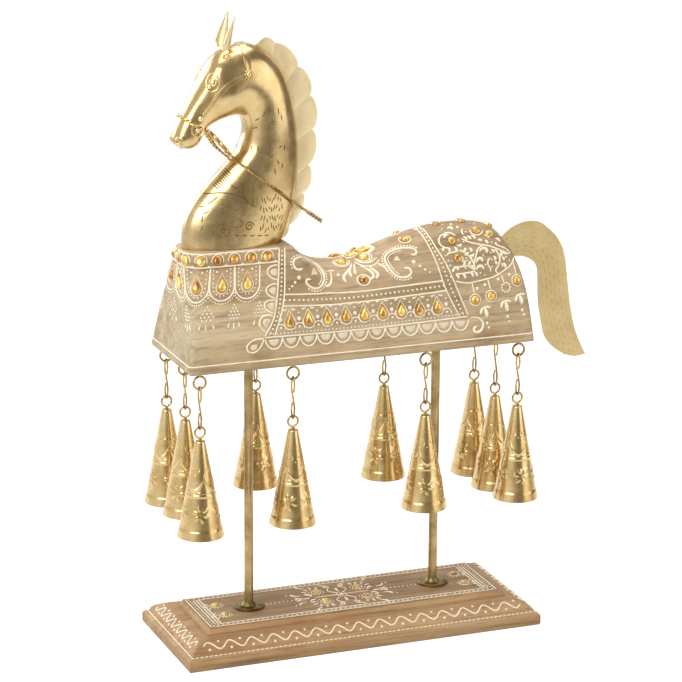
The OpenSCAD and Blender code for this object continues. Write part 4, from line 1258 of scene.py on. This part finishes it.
def paint_tassel(brush, p):
    """A diamond of dots with short strokes under it."""
    z = TASSEL_Z
    for row, count in enumerate((1, 2, 3, 4, 3)):
        for k in range(count):
            brush.dots([(p + (k - (count - 1) / 2) * 2.9, z - row * 2.7)], 0.92)
    for dx, length in ((-4, 4.5), (0, 6), (4, 4.5)):
        brush.comma((p + dx * 1.3, z - 13.5 - length), (p + dx, z - 13.5), 0.0, 1.8)


def paint_lower_line(shape):
    """A line round the body just above its lower edge."""
    z = LOWER_LINE_Z
    xs = [x for x in body_stations(1.2) if front_at(z) + 0.05 < x < rear_at(z) - 0.05]
    half = resample([(x, -body_w(x, z), z + BODY_Z) for x in xs], 1.6)
    ring = np.vstack([half, half[::-1] * MIRROR])
    shape.tube(resample(np.vstack([ring, ring[:1]]), 1.8)[:-1], 0.65, 6, loop=True)


def paint_rear(shape):
    """The rump's end: the swag carried round, rings of dots and hanging drops."""
    brush = Brush(rear_face, shape)
    swag = spline([(-30, 334), (-18, 327), (0, 324), (18, 327), (30, 334)], 10)
    brush.line(swag, LINE)
    for y in (-22, 0, 22):
        top = line_z(swag, y)
        for dx, length in ((-4, 6), (0, 9), (4, 6)):
            brush.comma((y + dx * 1.2, top - 6 - length), (y + dx * 0.5, top - 6), 0.0, 2.8)
        brush.dots([(y, top - 18), (y, top - 21), (y, top - 23.5)], (1.2, 1.0, 0.85))
        brush.dot_ring((y + 11, 305), 3.6, 8, 0.85)


paint = Shape()
pale_paint = Shape()
for flank in (near, far):
    for motifs in (paint_bands, paint_blanket, paint_saddle, paint_rump):
        motifs(Brush(flank, paint, pale_paint))
paint_collar(paint)
paint_lower_line(paint)
paint_rear(paint)
paint.piece("body_paint", CREAM, "body_wood")
pale_paint.piece("body_wash", WASH, "body_wood")


# Painted pattern of the base
def frame_path(half_x, half_y):
    corners = np.array([(-1, -1), (1, -1), (1, 1), (-1, 1), (-1, -1)]) * (half_x, half_y)
    return [np.linspace(a, b, 60) for a, b in zip(corners, corners[1:])]


def paint_panel(brush):
    """Border lines and beads of the top panel, sprays at the end stones and a medallion in the middle."""
    half_x, half_y = BASE_X - PANEL_IN - 1.6, BASE_Y - PANEL_IN - 1.6
    for inset in (0, 5.6):
        for path in frame_path(half_x - inset, half_y - inset):
            brush.line(path, FINE)
    for path in frame_path(half_x - 2.8, half_y - 2.8):
        brush.rope(path, pitch=4.6, along=1.3, lean=0.7, width=1.4)
    for s in (-1, 1):
        for step in (8.5, 11.5):
            x = s * (half_x - step)
            brush.line(np.linspace((x, -half_y + 6), (x, half_y - 6), 30), FINE)
        for y in np.linspace(-half_y + 9, half_y - 9, 14):
            brush.dots([(s * (half_x - 10), y)], 0.65)
        for t in (-1, 1):
            stone = END_STONE * (s, t)
            brush.ring(stone, STONE_RING_R)
            brush.dot_ring(stone, 6.5, 12, 0.65)
            for a in (-35, 0, 35):
                d = ray(a, s)
                brush.comma(stone + d * 7.5, stone + d * 12.5, 0.15, 2.0)
        brush.dot_row([(s * 40, 0), (s * 72, 0)], 4.2, 0.95)
        brush.comma((s * 31, 0), (s * 37, 0), 0, 2.6)
    paint_medallion(brush)


def paint_medallion(brush):
    """A diamond of leaves, stones and dots in the middle of the base."""
    for s in (-1, 1):
        for t in (-1, 1):
            stone = MIDDLE_STONE * (s, t)
            brush.ring(stone, STONE_RING_R)
            brush.dot_ring(stone, 7, 12, 0.7)
            for a in (-15, 15, 45, 75, 105):
                d = ray(a, s, t)
                brush.comma(stone + d * 9, stone + d * 14, 0.2 * s * t, 2.3)
            for a in (16, 44):
                d = ray(a, s, t)
                brush.comma(d * 47, d * 38 + np.array([0, -2 * t]), 0.2 * s * t, 2.6)
                brush.dots([d * 50.5], 0.9)
            brush.comma((s * 44, t * 3.6), (s * 36, t * 2.2), 0.15 * s * t, 2.4)
            brush.line(spline([(s * 2, t * 4), (s * 9, t * 12), (s * 4, t * 21)], 8), FINE)
            brush.scroll((s * 8, t * 22), 90 * s, 3.2, s * t)
            brush.comma((s * 27, t * 4), (s * 33, t * 9), 0.2 * s, 2.3)
        brush.comma((0, s * 16), (0, s * 7), 0, 2.8)
        brush.line(spline([(0, 0), (s * 14, 0.5), (s * 26, 0)], 6), FINE)
    brush.dot_ring((0, 0), 4.6, 12, 0.75)
    brush.dots([(0, 0)], 2.0)


def paint_moulding(shape):
    """A wave with dots in its bends along each side of the moulding, and a rope line on the ledge."""
    for side, waves in (("near", 15), ("far", 15), ("front", 7), ("rear", 7)):
        half = (BASE_X if side in ("near", "far") else BASE_Y) - LEDGE_W - OVOLO_W * 0.55
        s = np.linspace(-half, half, waves * 16)
        phase = (s + half) / (2 * half) * waves * 2 * math.pi
        brush = Brush(ovolo(side), shape)
        brush.line(np.stack([s, 42 + 15 * np.sin(phase)], axis=1), LINE * 1.1)
        for k in range(waves):
            x = -half + (k + 0.25) / waves * 2 * half
            brush.dots([(x, 27), (x + half / waves, 58)], 1.3)
    brush = Brush(ledge, shape)
    for path in frame_path(BASE_X - LEDGE_W + 0.9, BASE_Y - LEDGE_W + 0.9):
        brush.rope(path, pitch=4.3, along=2, lean=0.55, width=1.6, flip=-1)


base_paint = Shape()
paint_panel(Brush(panel, base_paint))
paint_moulding(base_paint)
base_paint.piece("base_paint", CREAM, "base_wood")


# Neck and head
RELIEF_MAX = 1.4
# Brow, eye, cheek and side of the nose: height, station and its width, angle and its width
HEAD_RELIEF = [(1.3, 11.2, 0.75, 138, 20), (-0.9, 12.15, 0.5, 112, 14), (1.2, 10.8, 1.3, 62, 30),
               (-0.9, 13.6, 1.0, 100, 26)]
NOSTRIL_U, NOSTRIL_A = 16.7, 126
MOUTH_U, MOUTH_A = 16.2, 60
SEAM_DEPTH = 0.22


def head_relief(u, a):
    """How far the sheet is driven out or in at a place on the head."""
    q = on_side(a, 1 if a <= 180 else -1)
    d = sum(h * bump(u - at_u, wide) * bump(q - at_q, high) for h, at_u, wide, at_q, high in HEAD_RELIEF)
    rim = math.hypot((u - NOSTRIL_U) / 0.5, (q - NOSTRIL_A) / 16)
    d += 1.2 * bump(rim - 1.0, 0.4) - 1.2 * bump(rim, 0.55)
    d -= 1.1 * bump((q - MOUTH_A) / 11, 1.0) * ease((u - MOUTH_U) / 0.8)
    d -= SEAM_DEPTH * (bump(q / 2.2, 1) + bump((q - 180) / 2.2, 1))
    return d


def head_skin(u, a):
    """A place on the driven-out sheet of the head, and the way it faces."""
    p, n = head_at(u, a)
    return p + n * min(head_relief(u, a), RELIEF_MAX), n


def head_rings(per_station=8, sides=112):
    turns = np.linspace(0, 360, sides, endpoint=False)
    stations = np.linspace(0, HEAD_END, HEAD_END * per_station + 1)
    return [np.array([head_skin(u, a)[0] for a in turns]) for u in stations]


head = Shape()
head.loft(head_rings())
head_piece = head.piece("neck_and_head", HEAD_BRASS, "head_brass", ["neck_shell_left", "neck_shell_right"],
                        sharp=70)


# Eyes: a domed stud in a ring of wire that lies on the head
def stud(shape, p, n, r, height, sides=28):
    circle = round_about(n, sides)
    rows = np.radians((0, 18, 36, 54, 72))
    shape.dome([p + circle * r * math.cos(t) + n * height * math.sin(t) for t in rows], [p + n * height])


EYE_U, EYE_A = 12, 128
EYE_RING_R = 6.5
EYE_WIRE_R = 0.85
EYE_LIFT = 0.45
EYE_R = 3.9
EYE_H = 3.1
EYE_SINK = 0.4
BIT_U, BIT_A = 14.85, 84
along_face = np.linalg.norm(head_pt(EYE_U + 0.2, EYE_A) - head_pt(EYE_U - 0.2, EYE_A)) / 0.4
round_face = np.linalg.norm(head_pt(EYE_U, EYE_A + 3) - head_pt(EYE_U, EYE_A - 3)) / 6
eyes = Shape()
for flip in (1, -1):
    rim = []
    for q in range(0, 360, 10):
        du, da = ray(q) * EYE_RING_R / (along_face, round_face)
        p, n = head_skin(EYE_U + du, on_side(EYE_A + da, flip))
        rim.append(p + n * EYE_LIFT)
    eyes.tube(rim, EYE_WIRE_R, 8, loop=True)
    p, n = head_skin(EYE_U, on_side(EYE_A, flip))
    stud(eyes, p - n * EYE_SINK, n, EYE_R, EYE_H)
eyes.piece("eyes_ringed", STUD_BRASS, "stud_brass", ["eye_studs"])

# Marks cut into the neck, seen from the side in its own frame: place, then half of the stroke
NECK_DASHES = [
    (8, 85.5, 1, 2.5), (13.5, 87, 0.8, 2), (18, 87, 0.8, 2), (23, 85, 1, 2), (27, 82, 1.4, 1.8),
    (29.5, 79.5, 1.4, 1.6), (-3.5, 54.5, -2, 2), (3, 56, -1.6, 2.4), (8.5, 60.5, 1.4, 2.6),
    (15.5, 59.5, 0.8, 2), (13, 52, 0.2, 2), (5.5, 46, -1.6, 2.6), (12.5, 42, 0.2, 2.6),
    (12, 38, -2, 1.6), (-29.5, 38, 2.4, 0.8), (-23, 41.5, 2.6, 1.6), (-19, 44.5, 2.2, 1.6),
    (-27, 33, 2.4, 1.4), (-30.5, 27.5, 0.4, 3.2), (-31, 20, 1.4, 2.4), (-14, 40, 1.8, 0.2),
    (-14, 36, 2, 0), (-14, 32.5, 2.6, 0), (-3, 35, 2.6, -0.2), (4, 34.5, 1.6, 0.6),
    (18, 111.5, 1.6, 1.2), (23, 116, 1, 2), (31, 109.5, 1.8, 0.2), (16.5, 104, 2, 0.8),
    (26, 105, 1, 1.4), (36, 118, -0.4, 3), (39, 112, -0.4, 2.6), (42, 86, -0.2, 2.6), (38, 87, 1.4, 1),
    (33, 66, -0.4, 3), (36, 73.5, -0.8, 2), (40, 70, 0.2, 2.4)]


def engrave_neck(shape, on):
    """Rows of short cuts, arcs, rings and a feathered field in the neck's sheet."""
    def cut(path):
        shape.bead(on, resample(path, 1.2), 1.15, 0.3, ends=0.3)

    for x, z, dx, dz in NECK_DASHES:
        cut([(x - dx, z - dz), (x, z), (x + dx, z + dz)])
    for x, z in np.linspace((-17, 54), (-5.5, 66.5), 9):
        cut([(x - 1.6, z + 2.2), (x + 1.6, z - 2.2)])
    cut(spline([(-26.5, 47.8), (-13, 49.6), (1, 46.5), (9.5, 39.5)], 6))
    for q in range(0, 360, 36):
        cut(arc((-14, 17.5), 5.6, 5.6, q, q + 22, 4))
        cut(arc((-1.5, 23), 4.8, 3.6, q, q + 24, 4))
    for x, z, r in ((-14, 17.5, 2.6), (9.5, 19.7, 4.2)):
        cut(spiral((x, z), r, 0.5, 3.4, 30))
    for x in range(-4, 25, 7):
        cut([(x, 12.6 - 0.1 * x), (x + 2.4, 12 - 0.1 * x), (x + 4.6, 12.4 - 0.1 * x)])
    for row in range(4):
        for k in range(9):
            x, z = 20 + k * 2.6 + row % 2, 14 + row * 8.5 + 1.8 * math.sin(2.1 * k + row)
            lean, tall = 1.5 * math.sin(0.9 * k + 1.3 * row), 2.3 + 0.7 * math.sin(1.7 * k)
            cut([(x - lean, z), (x, z + tall), (x + lean * 0.4, z + 2 * tall)])


cuts = Shape()
for side in (1, -1):
    engrave_neck(cuts, facing(head_piece, (0, side, 0), NECK_FOOT))
cuts.piece("neck_engraving", NECK_CUT, "head_brass")


# Headstall: a band over the poll, a cheek strap on each side and a twisted noseband
def strap(shape, route, width):
    """A band on the head through stations and angles, with raised edges."""
    stations = resample(spline(route, 10), 1.2)
    points, normals = np.array([head_at(u, a) for u, a in stations]).swapaxes(0, 1)
    b = unit(np.cross(normals, unit(np.gradient(points, axis=0))))
    half = ((-0.5, -0.3), (-0.5, 0.75), (-0.42, 0.9), (-0.3, 0.75))
    profile = (*half, *((-o, h) for o, h in half[::-1]))
    shape.loft([[p + d * o * width + n * h for o, h in profile] for p, d, n in zip(points, b, normals)])


POLL_BAND = [(9.12, 108), (9.2, 140), (9.22, 180), (9.2, 220), (9.12, 252)]
CHEEK_BAND = [(9.5, 104), (11, 100), (12.5, 96), (13.6, 93)]
POLL_W = 5.6
CHEEK_W = 4.2
headstall = Shape()
strap(headstall, POLL_BAND, POLL_W)
for flip in (1, -1):
    strap(headstall, [(u, on_side(a, flip)) for u, a in CHEEK_BAND], CHEEK_W)
headstall.piece("headstall_straps", STRAP_BRASS, "strap_brass", ["headstall"])

NOSEBAND_U = 14.6
NOSEBAND_LIFT = 0.7
NOSEBAND_TURNS = 9
STRAND_REACH = 0.75
STRAND_R = 0.85
BIT_RING_R = 5.2
BIT_WIRE_R = 0.75
BIT_LIFT = 0.9
noseband = Shape()
turn = np.linspace(0, 360, 90, endpoint=False)
seat, ring_out = np.array([head_at(NOSEBAND_U, a) for a in turn]).swapaxes(0, 1)
ring = seat + ring_out * NOSEBAND_LIFT
ring_side = unit(np.cross(ring_out, np.roll(ring, -1, 0) - np.roll(ring, 1, 0)))
for k in range(2):
    wind = np.radians(turn * NOSEBAND_TURNS + 180 * k)[:, None]
    strand = ring + (ring_out * np.cos(wind) + ring_side * np.sin(wind)) * STRAND_REACH
    noseband.tube(strand, STRAND_R, 7, loop=True)
for flip in (1, -1):
    middle, n = head_at(BIT_U, on_side(BIT_A, flip))
    noseband.tube(middle + n * BIT_LIFT + round_about(n, 24) * BIT_RING_R, BIT_WIRE_R, 7, loop=True)
noseband.piece("noseband_twisted", STRAP_BRASS, "strap_brass", ["noseband"])


# Ears
EAR_U, EAR_A = 10.25, 160
EAR_HALF = 6.4
EAR_T = 0.9
EAR_BEND = 62


def ear_rings(flip):
    p, n = head_at(EAR_U, EAR_A)
    root = p + n * 2 + np.array([2.4, 0, 0])
    tip_z = node_box("left_ear")[1][2] - 0.4
    rise = unit([0.18, -0.03, 1])
    wide = unit([0.62, 0.78, -0.1])
    fore = np.cross(rise, wide)
    length = (tip_z - root[2]) / rise[2]
    bend = np.radians(np.linspace(EAR_BEND, -EAR_BEND, 13))
    rings = []
    for t in np.linspace(0, 1, 26):
        w = EAR_HALF * np.interp(t, [0, 0.16, 0.5, 1], [0.62, 1, 0.68, 0.06])
        spine = root + rise * length * t
        inner = [spine + wide * w * math.sin(s) + fore * w * 0.9 * (1 - math.cos(s)) for s in bend]
        outer = [p + fore * EAR_T for p in inner[::-1]]
        rings.append(np.array(inner + outer) * np.array([1, flip, 1]))
    return rings


for name, flip in (("right_ear", 1), ("left_ear", -1)):
    ear = Shape()
    ear.loft(ear_rings(flip))
    ear.piece(name + "_leaf", MANE_BRASS, "head_brass", [name])


# Bells: depths of the pressed pattern below the top, and how often it repeats round the cone
BAND_D = 46.5
SWAG_D = 30
SWAG_SAG = 11.5
SWAGS = 4
SWAG_PITS = [(0, 28), (-0.42, 24), (0.42, 24)]
FLOWER_D = 61.5
FLOWERS = 5
FLOWER_PETALS = 6
MOUTH_BAND_D = 77.2


def cone_r(d):
    return mix(BELL_TOP_R, BELL_R - 0.4, d / BELL_H) - 0.4


def bell_relief(theta, d):
    """Pressed pattern of a bell at an angle and a depth below its top."""
    r = cone_r(d)
    share = theta / (2 * math.pi)
    out = 0.38 * bump(d - BAND_D, 0.8) + 0.2 * bump(d - BAND_D + 2.9, 0.6)
    cell = (share * SWAGS) % 1 * 2 - 1
    line = SWAG_D + SWAG_SAG * (1 - cell ** 2) - 3.0 * bump(cell * cell - 1, 0.1)
    above = d < BAND_D - 0.5
    out += (0.42 * bump(d - line, 0.95) - 0.2 * bump(d - line - 3, 1.4)) * above
    for dc, dd in SWAG_PITS:
        out -= 0.45 * bump(np.hypot((cell - dc) * r * math.pi / SWAGS, d - dd), 0.75)
    across = ((share * FLOWERS) % 1 - 0.5) * 2 * math.pi / FLOWERS * r
    down = d - FLOWER_D
    rho = np.hypot(across, down)
    turn = np.arctan2(down, across) / (2 * math.pi)
    petal = np.abs(((turn * FLOWER_PETALS + 0.25) % 1) - 0.5) * 2 * math.pi / FLOWER_PETALS * rho
    out += 0.5 * bump(petal, 1.25) * bump(rho - 4.6, 2.6)
    out += 0.35 * bump(rho, 1.0)
    out += 0.36 / (1 + np.exp(-(d - MOUTH_BAND_D) * 4))
    return out


def bell_mesh(name, turn, sides=150):
    """The cone, pressed from sheet: its pattern turned outside, plain inside."""
    theta = np.linspace(0, 2 * math.pi, sides, endpoint=False)

    def ring(r, d):
        return np.stack([r * np.cos(theta), r * np.sin(theta), np.full(sides, -d)], axis=1)

    outside = np.r_[0.4, np.arange(1.0, BELL_H, 0.82), BELL_H - 0.3, BELL_H]
    inside = (BELL_H, BELL_H - 0.3, 70, 55, 40, 25, 12, 1.6)
    rings = [ring(1.3, 0), ring(BELL_TOP_R - 0.6, 0)]
    rings += [ring(cone_r(d) + bell_relief(theta + turn, d), d) for d in outside]
    rings += [ring(cone_r(d) - BELL_WALL * 0.75, d) for d in inside]
    cone = Shape()
    cone.loft(rings)
    return cone.mesh(name, BELL_BRASS, sharp=60)


def loop_mesh(inner_drop):
    """The hand-bent wire loop on top of a bell, with its stem and the eye inside for the clapper."""
    wire = Shape()
    a = np.radians(np.linspace(-78, 258, 44))
    ring = np.stack([LOOP_R * np.cos(a), np.zeros(len(a)), LOOP_R * np.sin(a)], axis=1)
    foot = -LOOP_R - LOOP_WIRE / 2 - 2
    route = np.vstack([[(0.75, 0.2, foot - 1), (0.75, 0.1, foot + 1.6)], ring,
                       [(-0.75, -0.1, foot + 1.6), (-0.75, -0.2, foot - 1)]])
    wire.tube(resample(spline(route, 2), 0.8), LOOP_WIRE / 2 + 0.05, 8)
    wire.tube([(0, 0, foot - 0.5), (0, 0, foot - 2), (0, 0, INNER_R - inner_drop)], 1.1, 10)
    b = np.radians(np.arange(0, 360, 12))
    eye = np.stack([INNER_R * np.cos(b), np.zeros(len(b)), INNER_R * np.sin(b) - inner_drop], axis=1)
    wire.tube(eye, INNER_WIRE / 2, 8, loop=True)
    return wire.mesh("bell_loop", WIRE_BRASS, sharp=60)


def hook_mesh(name, drop):
    """An S-hook of bent wire with long returning ends; its upper bend is at the origin."""
    over = [(HOOK_R * math.cos(a), HOOK_R * math.sin(a)) for a in np.radians(np.arange(180, -1, -30))]
    half = [(-1.5, -11.5), (-2.8, -6.5), *over, (2.8, -6.5), (1.9, -11)]
    route = [*half, (0, -drop / 2), *[(-y, -drop - z) for y, z in half[::-1]]]
    path = resample(spline(route, 6), 0.8)
    lean = 0.35 * np.sin(np.linspace(0, 4 * math.pi, len(path)))
    wire = Shape()
    wire.tube(np.stack([lean, path[:, 0], path[:, 1]], axis=1), HOOK_WIRE / 2 + 0.1, 8)
    return wire.mesh(name, WIRE_BRASS, sharp=60)


joints = {j["name"]: np.array(j["pos_m"]) / MM for j in frame["joints"]}
loop_reach = LOOP_R + LOOP_WIRE / 2
hook_reach = HOOK_R + HOOK_WIRE / 2
top_of_first = node_box("bell_01")[1][2] - loop_reach
clapper_eye = joints["clapper_01_strike"][2] + INNER_R
loop_data = loop_mesh(top_of_first - clapper_eye)
for k, (bell, hook) in enumerate(zip(numbered("bell"), numbered("hook"))):
    low, high = node_box(bell)
    x, y = joints[bell + "_swing"][:2]
    cone_data = bell_mesh(bell + "_cone", math.radians(-BELL_TURN * k))
    put(bell + "_cone", cone_data, [bell], bell + "_body", (x, y, low[2] + BELL_H))
    put(bell + "_loop", loop_data, (), bell + "_body", (x, y, high[2] - loop_reach))
    low, high = node_box(hook)
    wire_data = hook_mesh(hook + "_wire", high[2] - low[2] - 2 * hook_reach)
    put(hook + "_wire", wire_data, [hook], hook + "_body", (x, y, high[2] - hook_reach))


# Reins, in the neck's own frame: two strands on each side, thick beside the bit, then wound together
REIN = [(-24.8, -10.2, 104.5), (-14, -17, 91.5), (-7, -20, 82.5), (7, -22.5, 70), (25, -23, 56.5),
        (44, -19.5, 43), (57.5, -8.5, 32.5), (65, -1.6, 27), (70, -1.3, 23.4)]
REIN_END = [(70.6, 0, 23), (76.9, 0, 18.4), (83.1, 0, 13.9)]


def twisted(shape, route, pitch, reach, r, thick=0.0):
    """Two strands wound round a route, stouter over its first part by a share."""
    path = resample(spline(route, 8), 1.0) + (NECK_X, 0, NECK_Z)
    t = unit(np.gradient(path, axis=0))
    b = unit(np.cross(t, (0.2, 1.0, 0.1)))
    c = np.cross(t, b)
    run = run_of(path)
    stout = 1 + thick * ease(run / 6) * ease((34 - run) / 9)
    for k in range(2):
        a = (run / pitch * 2 * math.pi + k * math.pi)[:, None]
        shape.tube(path + (b * np.cos(a) + c * np.sin(a)) * (reach * stout)[:, None], r * stout, 7)


reins = Shape()
for side in (1, -1):
    twisted(reins, [(x, y * side, z) for x, y, z in REIN], pitch=8, reach=0.5, r=0.72, thick=0.75)
twisted(reins, REIN_END, pitch=6.2, reach=1.05, r=1.0)
reins.piece("reins_twisted", WIRE_BRASS, "wire_brass", ["reins"])


# The mane's lobes and the engraved lines of the tail
PLATE_T = 1.0
# Valleys between the lobes, in the neck's own frame
MANE = [(17.5, 177), (40, 173.5), (61, 152), (72.5, 126), (75, 96), (71, 65), (66.5, 40.5), (53, 13),
        (46.5, 2)]
LOBE_FULL = 26
LOBE_SWELL = 4.6
LOBE_CUT = 2.4
LOBE_PILLOW = 0.55
MANE_TOP_U = 9.2
TAIL_FLOW = [(-4, 74.5), (4, 78), (14, 80), (24, 77), (33, 69.5), (38.5, 58), (41, 42), (43, 24), (46, 6),
             (52, -13), (62, -29)]
TAIL_DASH = 3.8
TAIL_STAGGER = 3.4
TAIL_HALF = [8, 11.5, 13.5, 14.5, 13.5, 12.5, 12.5, 12.5, 12.5, 12.5, 8]


def mane_rings(per_lobe=14, rows=8):
    """Slices of the mane from the crest out to its scalloped rim, pillowed between the creases."""
    us = np.linspace(0, MANE_TOP_U, 300)
    crest = np.array([head_pt(u, 180)[[0, 2]] for u in us])
    valleys = np.array(MANE, float) + NECK_FOOT
    valley_u = [us[np.argmin(np.linalg.norm(crest - v, axis=1))] for v in valleys]
    rings = []
    for k in range(len(valleys) - 1):
        a, d = valleys[k], valleys[k + 1] - valleys[k]
        out = unit([-d[1], d[0]])
        full = min(1, np.linalg.norm(d) / LOBE_FULL)
        for t in (1 - np.cos(np.arange(per_lobe) * math.pi / per_lobe)) / 2:
            s = 4 * t * (1 - t)
            rim = a + d * t + out * full * ((LOBE_SWELL + LOBE_CUT) * math.sqrt(s) - LOBE_CUT)
            u = max(0.05, mix(valley_u[k], valley_u[k + 1], t) - 0.3)
            foot = head_pt(u, 180)[[0, 2]]
            rim = mix(foot, rim, ease(0.12 + 1.3 * t)) if k == 0 else rim
            f = np.linspace(0, 1, rows)
            half = PLATE_T / 2 + LOBE_PILLOW * np.sin(math.pi * f) * s ** 0.7
            flat = mix(foot, rim, f[:, None])
            side = np.stack([flat[:, 0], -half, flat[:, 1]], axis=1)
            rings.append(np.vstack([side, side[::-1] * MIRROR]))
    return rings


def engrave_tail(shape, on):
    """Rows of thin dashes that follow the tail's sweep."""
    flow = resample(spline(TAIL_FLOW, 6), 8.5)
    t = unit(np.gradient(flow, axis=0))
    across = leftward(flow)
    half = np.interp(np.linspace(0, 1, len(flow)), np.linspace(0, 1, len(TAIL_HALF)), TAIL_HALF)
    for k in range(len(flow)):
        for j, lane in enumerate(np.linspace(-0.85, 0.85, 6)):
            centre = flow[k] + across[k] * half[k] * lane + t[k] * TAIL_STAGGER * ((j % 2) - 0.5)
            dash = centre + np.outer((-1, 0, 1), t[k]) * TAIL_DASH / 2
            shape.bead(on, dash + (REAR_X, BODY_Z), 0.55, 0.1)


mane = Shape()
mane.loft(mane_rings())
mane.piece("mane_lobes", MANE_BRASS, "plate_brass", ["mane_plate"], sharp=40)

plate_cuts = Shape()
for y in (-PLATE_T / 2, PLATE_T / 2):
    engrave_tail(plate_cuts, upright(y))
plate_cuts.piece("plate_engraving", PLATE_CUT, "plate_brass")


# Rosettes of the headstall: a domed stud and a ring of beads
def on_spot(p, n):
    """A sheet of one point p that faces along n, whatever is asked of it."""
    return lambda path: (p[None], n[None])


# Place on the head, radius of the stud, reach and size of its beads
ROSETTES = [(9.15, 105, 2.7, 3.5, 0.85), (10.4, 148, 2.0, 3.0, 0.9), (13.95, 92, 2.6, 0, 0),
            (BIT_U, BIT_A, 2.4, 0, 0)]
ROSETTE_BEADS = 9
ROSETTE_LIFT = 0.3
ROSETTE_RISE = 0.8
BEAD_LIFT = 0.5
rosettes = Shape()
for flip in (1, -1):
    for u, a, r, reach, size in ROSETTES:
        middle, n = head_at(u, on_side(a, flip))
        stud(rosettes, middle + n * ROSETTE_LIFT, n, r, r * ROSETTE_RISE, 20)
        if size:
            for way in round_about(n, ROSETTE_BEADS):
                rosettes.dot(on_spot(middle + way * reach + n * BEAD_LIFT, n), [(0, 0)], size, 0.9)
rosettes.piece("rosette_studs", STUD_BRASS, "stud_brass", ["rosettes"])


# Floor, light and camera
AIM = np.array([-2.27, 0, 266.07])
AZIMUTH = math.radians(-21.579)
ELEVATION = math.radians(15.85)
ROLL = math.radians(0.406)
DISTANCE = 2647.5
FOCAL_PX = 3002.2
PHOTO_PX = 682
SENSOR = 36.0
FLOOR_HALF = 1.3
BRIGHT_SIDE = (-0.72, 0.69, 0.0)
DIM_SIDE = (0.34, 0.32, 0.29, 1)
WHITE = (1, 1, 1, 1)
# Place and size in metres, and watts
LAMPS = [("key", (-1.5, -1.2, 1.5), (1.6, 1.6), 36), ("fill", (1.6, -1.4, 0.9), (1.8, 1.8), 18),
         ("top", (0.1, 0.2, 2.0), (1.6, 1.2), 19), ("rim", (-1.25, 2.5, 1.05), (1.6, 1.3), 24)]
LAMP_AIM = (0, 0, 0.3)


def set_up(thing, right, back, place):
    """Puts a camera or a lamp into the scene, with its back turned along a direction."""
    upward = np.cross(back, right)
    rows = [[right[k], upward[k], back[k], place[k]] for k in range(3)]
    thing.matrix_world = Matrix(rows + [[0, 0, 0, 1]])
    bpy.context.scene.collection.objects.link(thing)


def make_camera():
    level = math.cos(ELEVATION)
    back = np.array([math.sin(AZIMUTH) * level, -math.cos(AZIMUTH) * level, math.sin(ELEVATION)])
    flat = np.array([math.cos(AZIMUTH), math.sin(AZIMUTH), 0])
    right = flat * math.cos(ROLL) + np.cross(back, flat) * math.sin(ROLL)
    data = bpy.data.cameras.new("camera")
    data.sensor_width = SENSOR
    data.lens = FOCAL_PX / PHOTO_PX * SENSOR
    camera = bpy.data.objects.new("camera", data)
    set_up(camera, right, back, (AIM + back * DISTANCE) * MM)
    bpy.context.scene.camera = camera


def by_ray(nodes, seen, lit):
    """A strength for rays from the camera, metal and glass, and another for the light on the object."""
    path = nodes.node("ShaderNodeLightPath").outputs
    rays = path["Is Camera Ray"]
    for kind in ("Is Glossy Ray", "Is Transmission Ray"):
        rays = nodes.larger(rays, path[kind])
    return nodes.node("ShaderNodeMapRange", Value=rays, To_Min=lit, To_Max=seen).outputs["Result"]


def make_floor():
    """A pale floor that shows white and keeps the shadow."""
    look = Look("floor", roughness=0.9, specular_ior_level=0.0, emission_color=WHITE)
    look.colour(screen(170, 170, 168))
    look.feed(look.shader.inputs["Emission Strength"], by_ray(look, seen=0.9, lit=0.0))
    corners = np.array([(-1, -1, 0), (1, -1, 0), (1, 1, 0), (-1, 1, 0)]) * FLOOR_HALF
    mesh = bpy.data.meshes.new("floor")
    mesh.from_pydata(corners.tolist(), [], [(0, 1, 2, 3)])
    mesh.materials.append(look.material)
    floor = bpy.data.objects.new("floor", mesh)
    bpy.context.scene.collection.objects.link(floor)


def make_lamp(name, place, size, watts):
    data = bpy.data.lights.new(name, "AREA")
    data.shape = "RECTANGLE"
    data.size, data.size_y = size
    data.energy = watts
    back = unit(np.array(place) - LAMP_AIM)
    set_up(bpy.data.objects.new(name, data), unit(np.cross((0, 0, 1), back)), back, place)


def make_world():
    """A studio that is white to the camera, and bright on one side and dim on the other to the object."""
    world = bpy.data.worlds.new("studio")
    world.use_nodes = True
    nodes = Nodes(world.node_tree)
    background = nodes.tree.nodes["Background"]
    toward = nodes.node("ShaderNodeVectorMath")
    toward.operation = "DOT_PRODUCT"
    nodes.feed(toward.inputs[0], nodes.node("ShaderNodeTexCoord").outputs["Generated"])
    nodes.feed(toward.inputs[1], BRIGHT_SIDE)
    share = nodes.node("ShaderNodeMapRange", Value=toward.outputs["Value"], From_Min=-0.55, From_Max=0.25)
    camera_ray = nodes.node("ShaderNodeLightPath").outputs["Is Camera Ray"]
    white = nodes.larger(share.outputs["Result"], camera_ray)
    nodes.feed(background.inputs["Color"], nodes.ramp(white, (0, DIM_SIDE), (1, WHITE)))
    nodes.feed(background.inputs["Strength"], by_ray(nodes, seen=1.0, lit=0.6))
    bpy.context.scene.world = world


make_camera()
make_floor()
make_world()
for lamp in LAMPS:
    make_lamp(*lamp)
bpy.context.scene.view_settings.view_transform = "Standard"
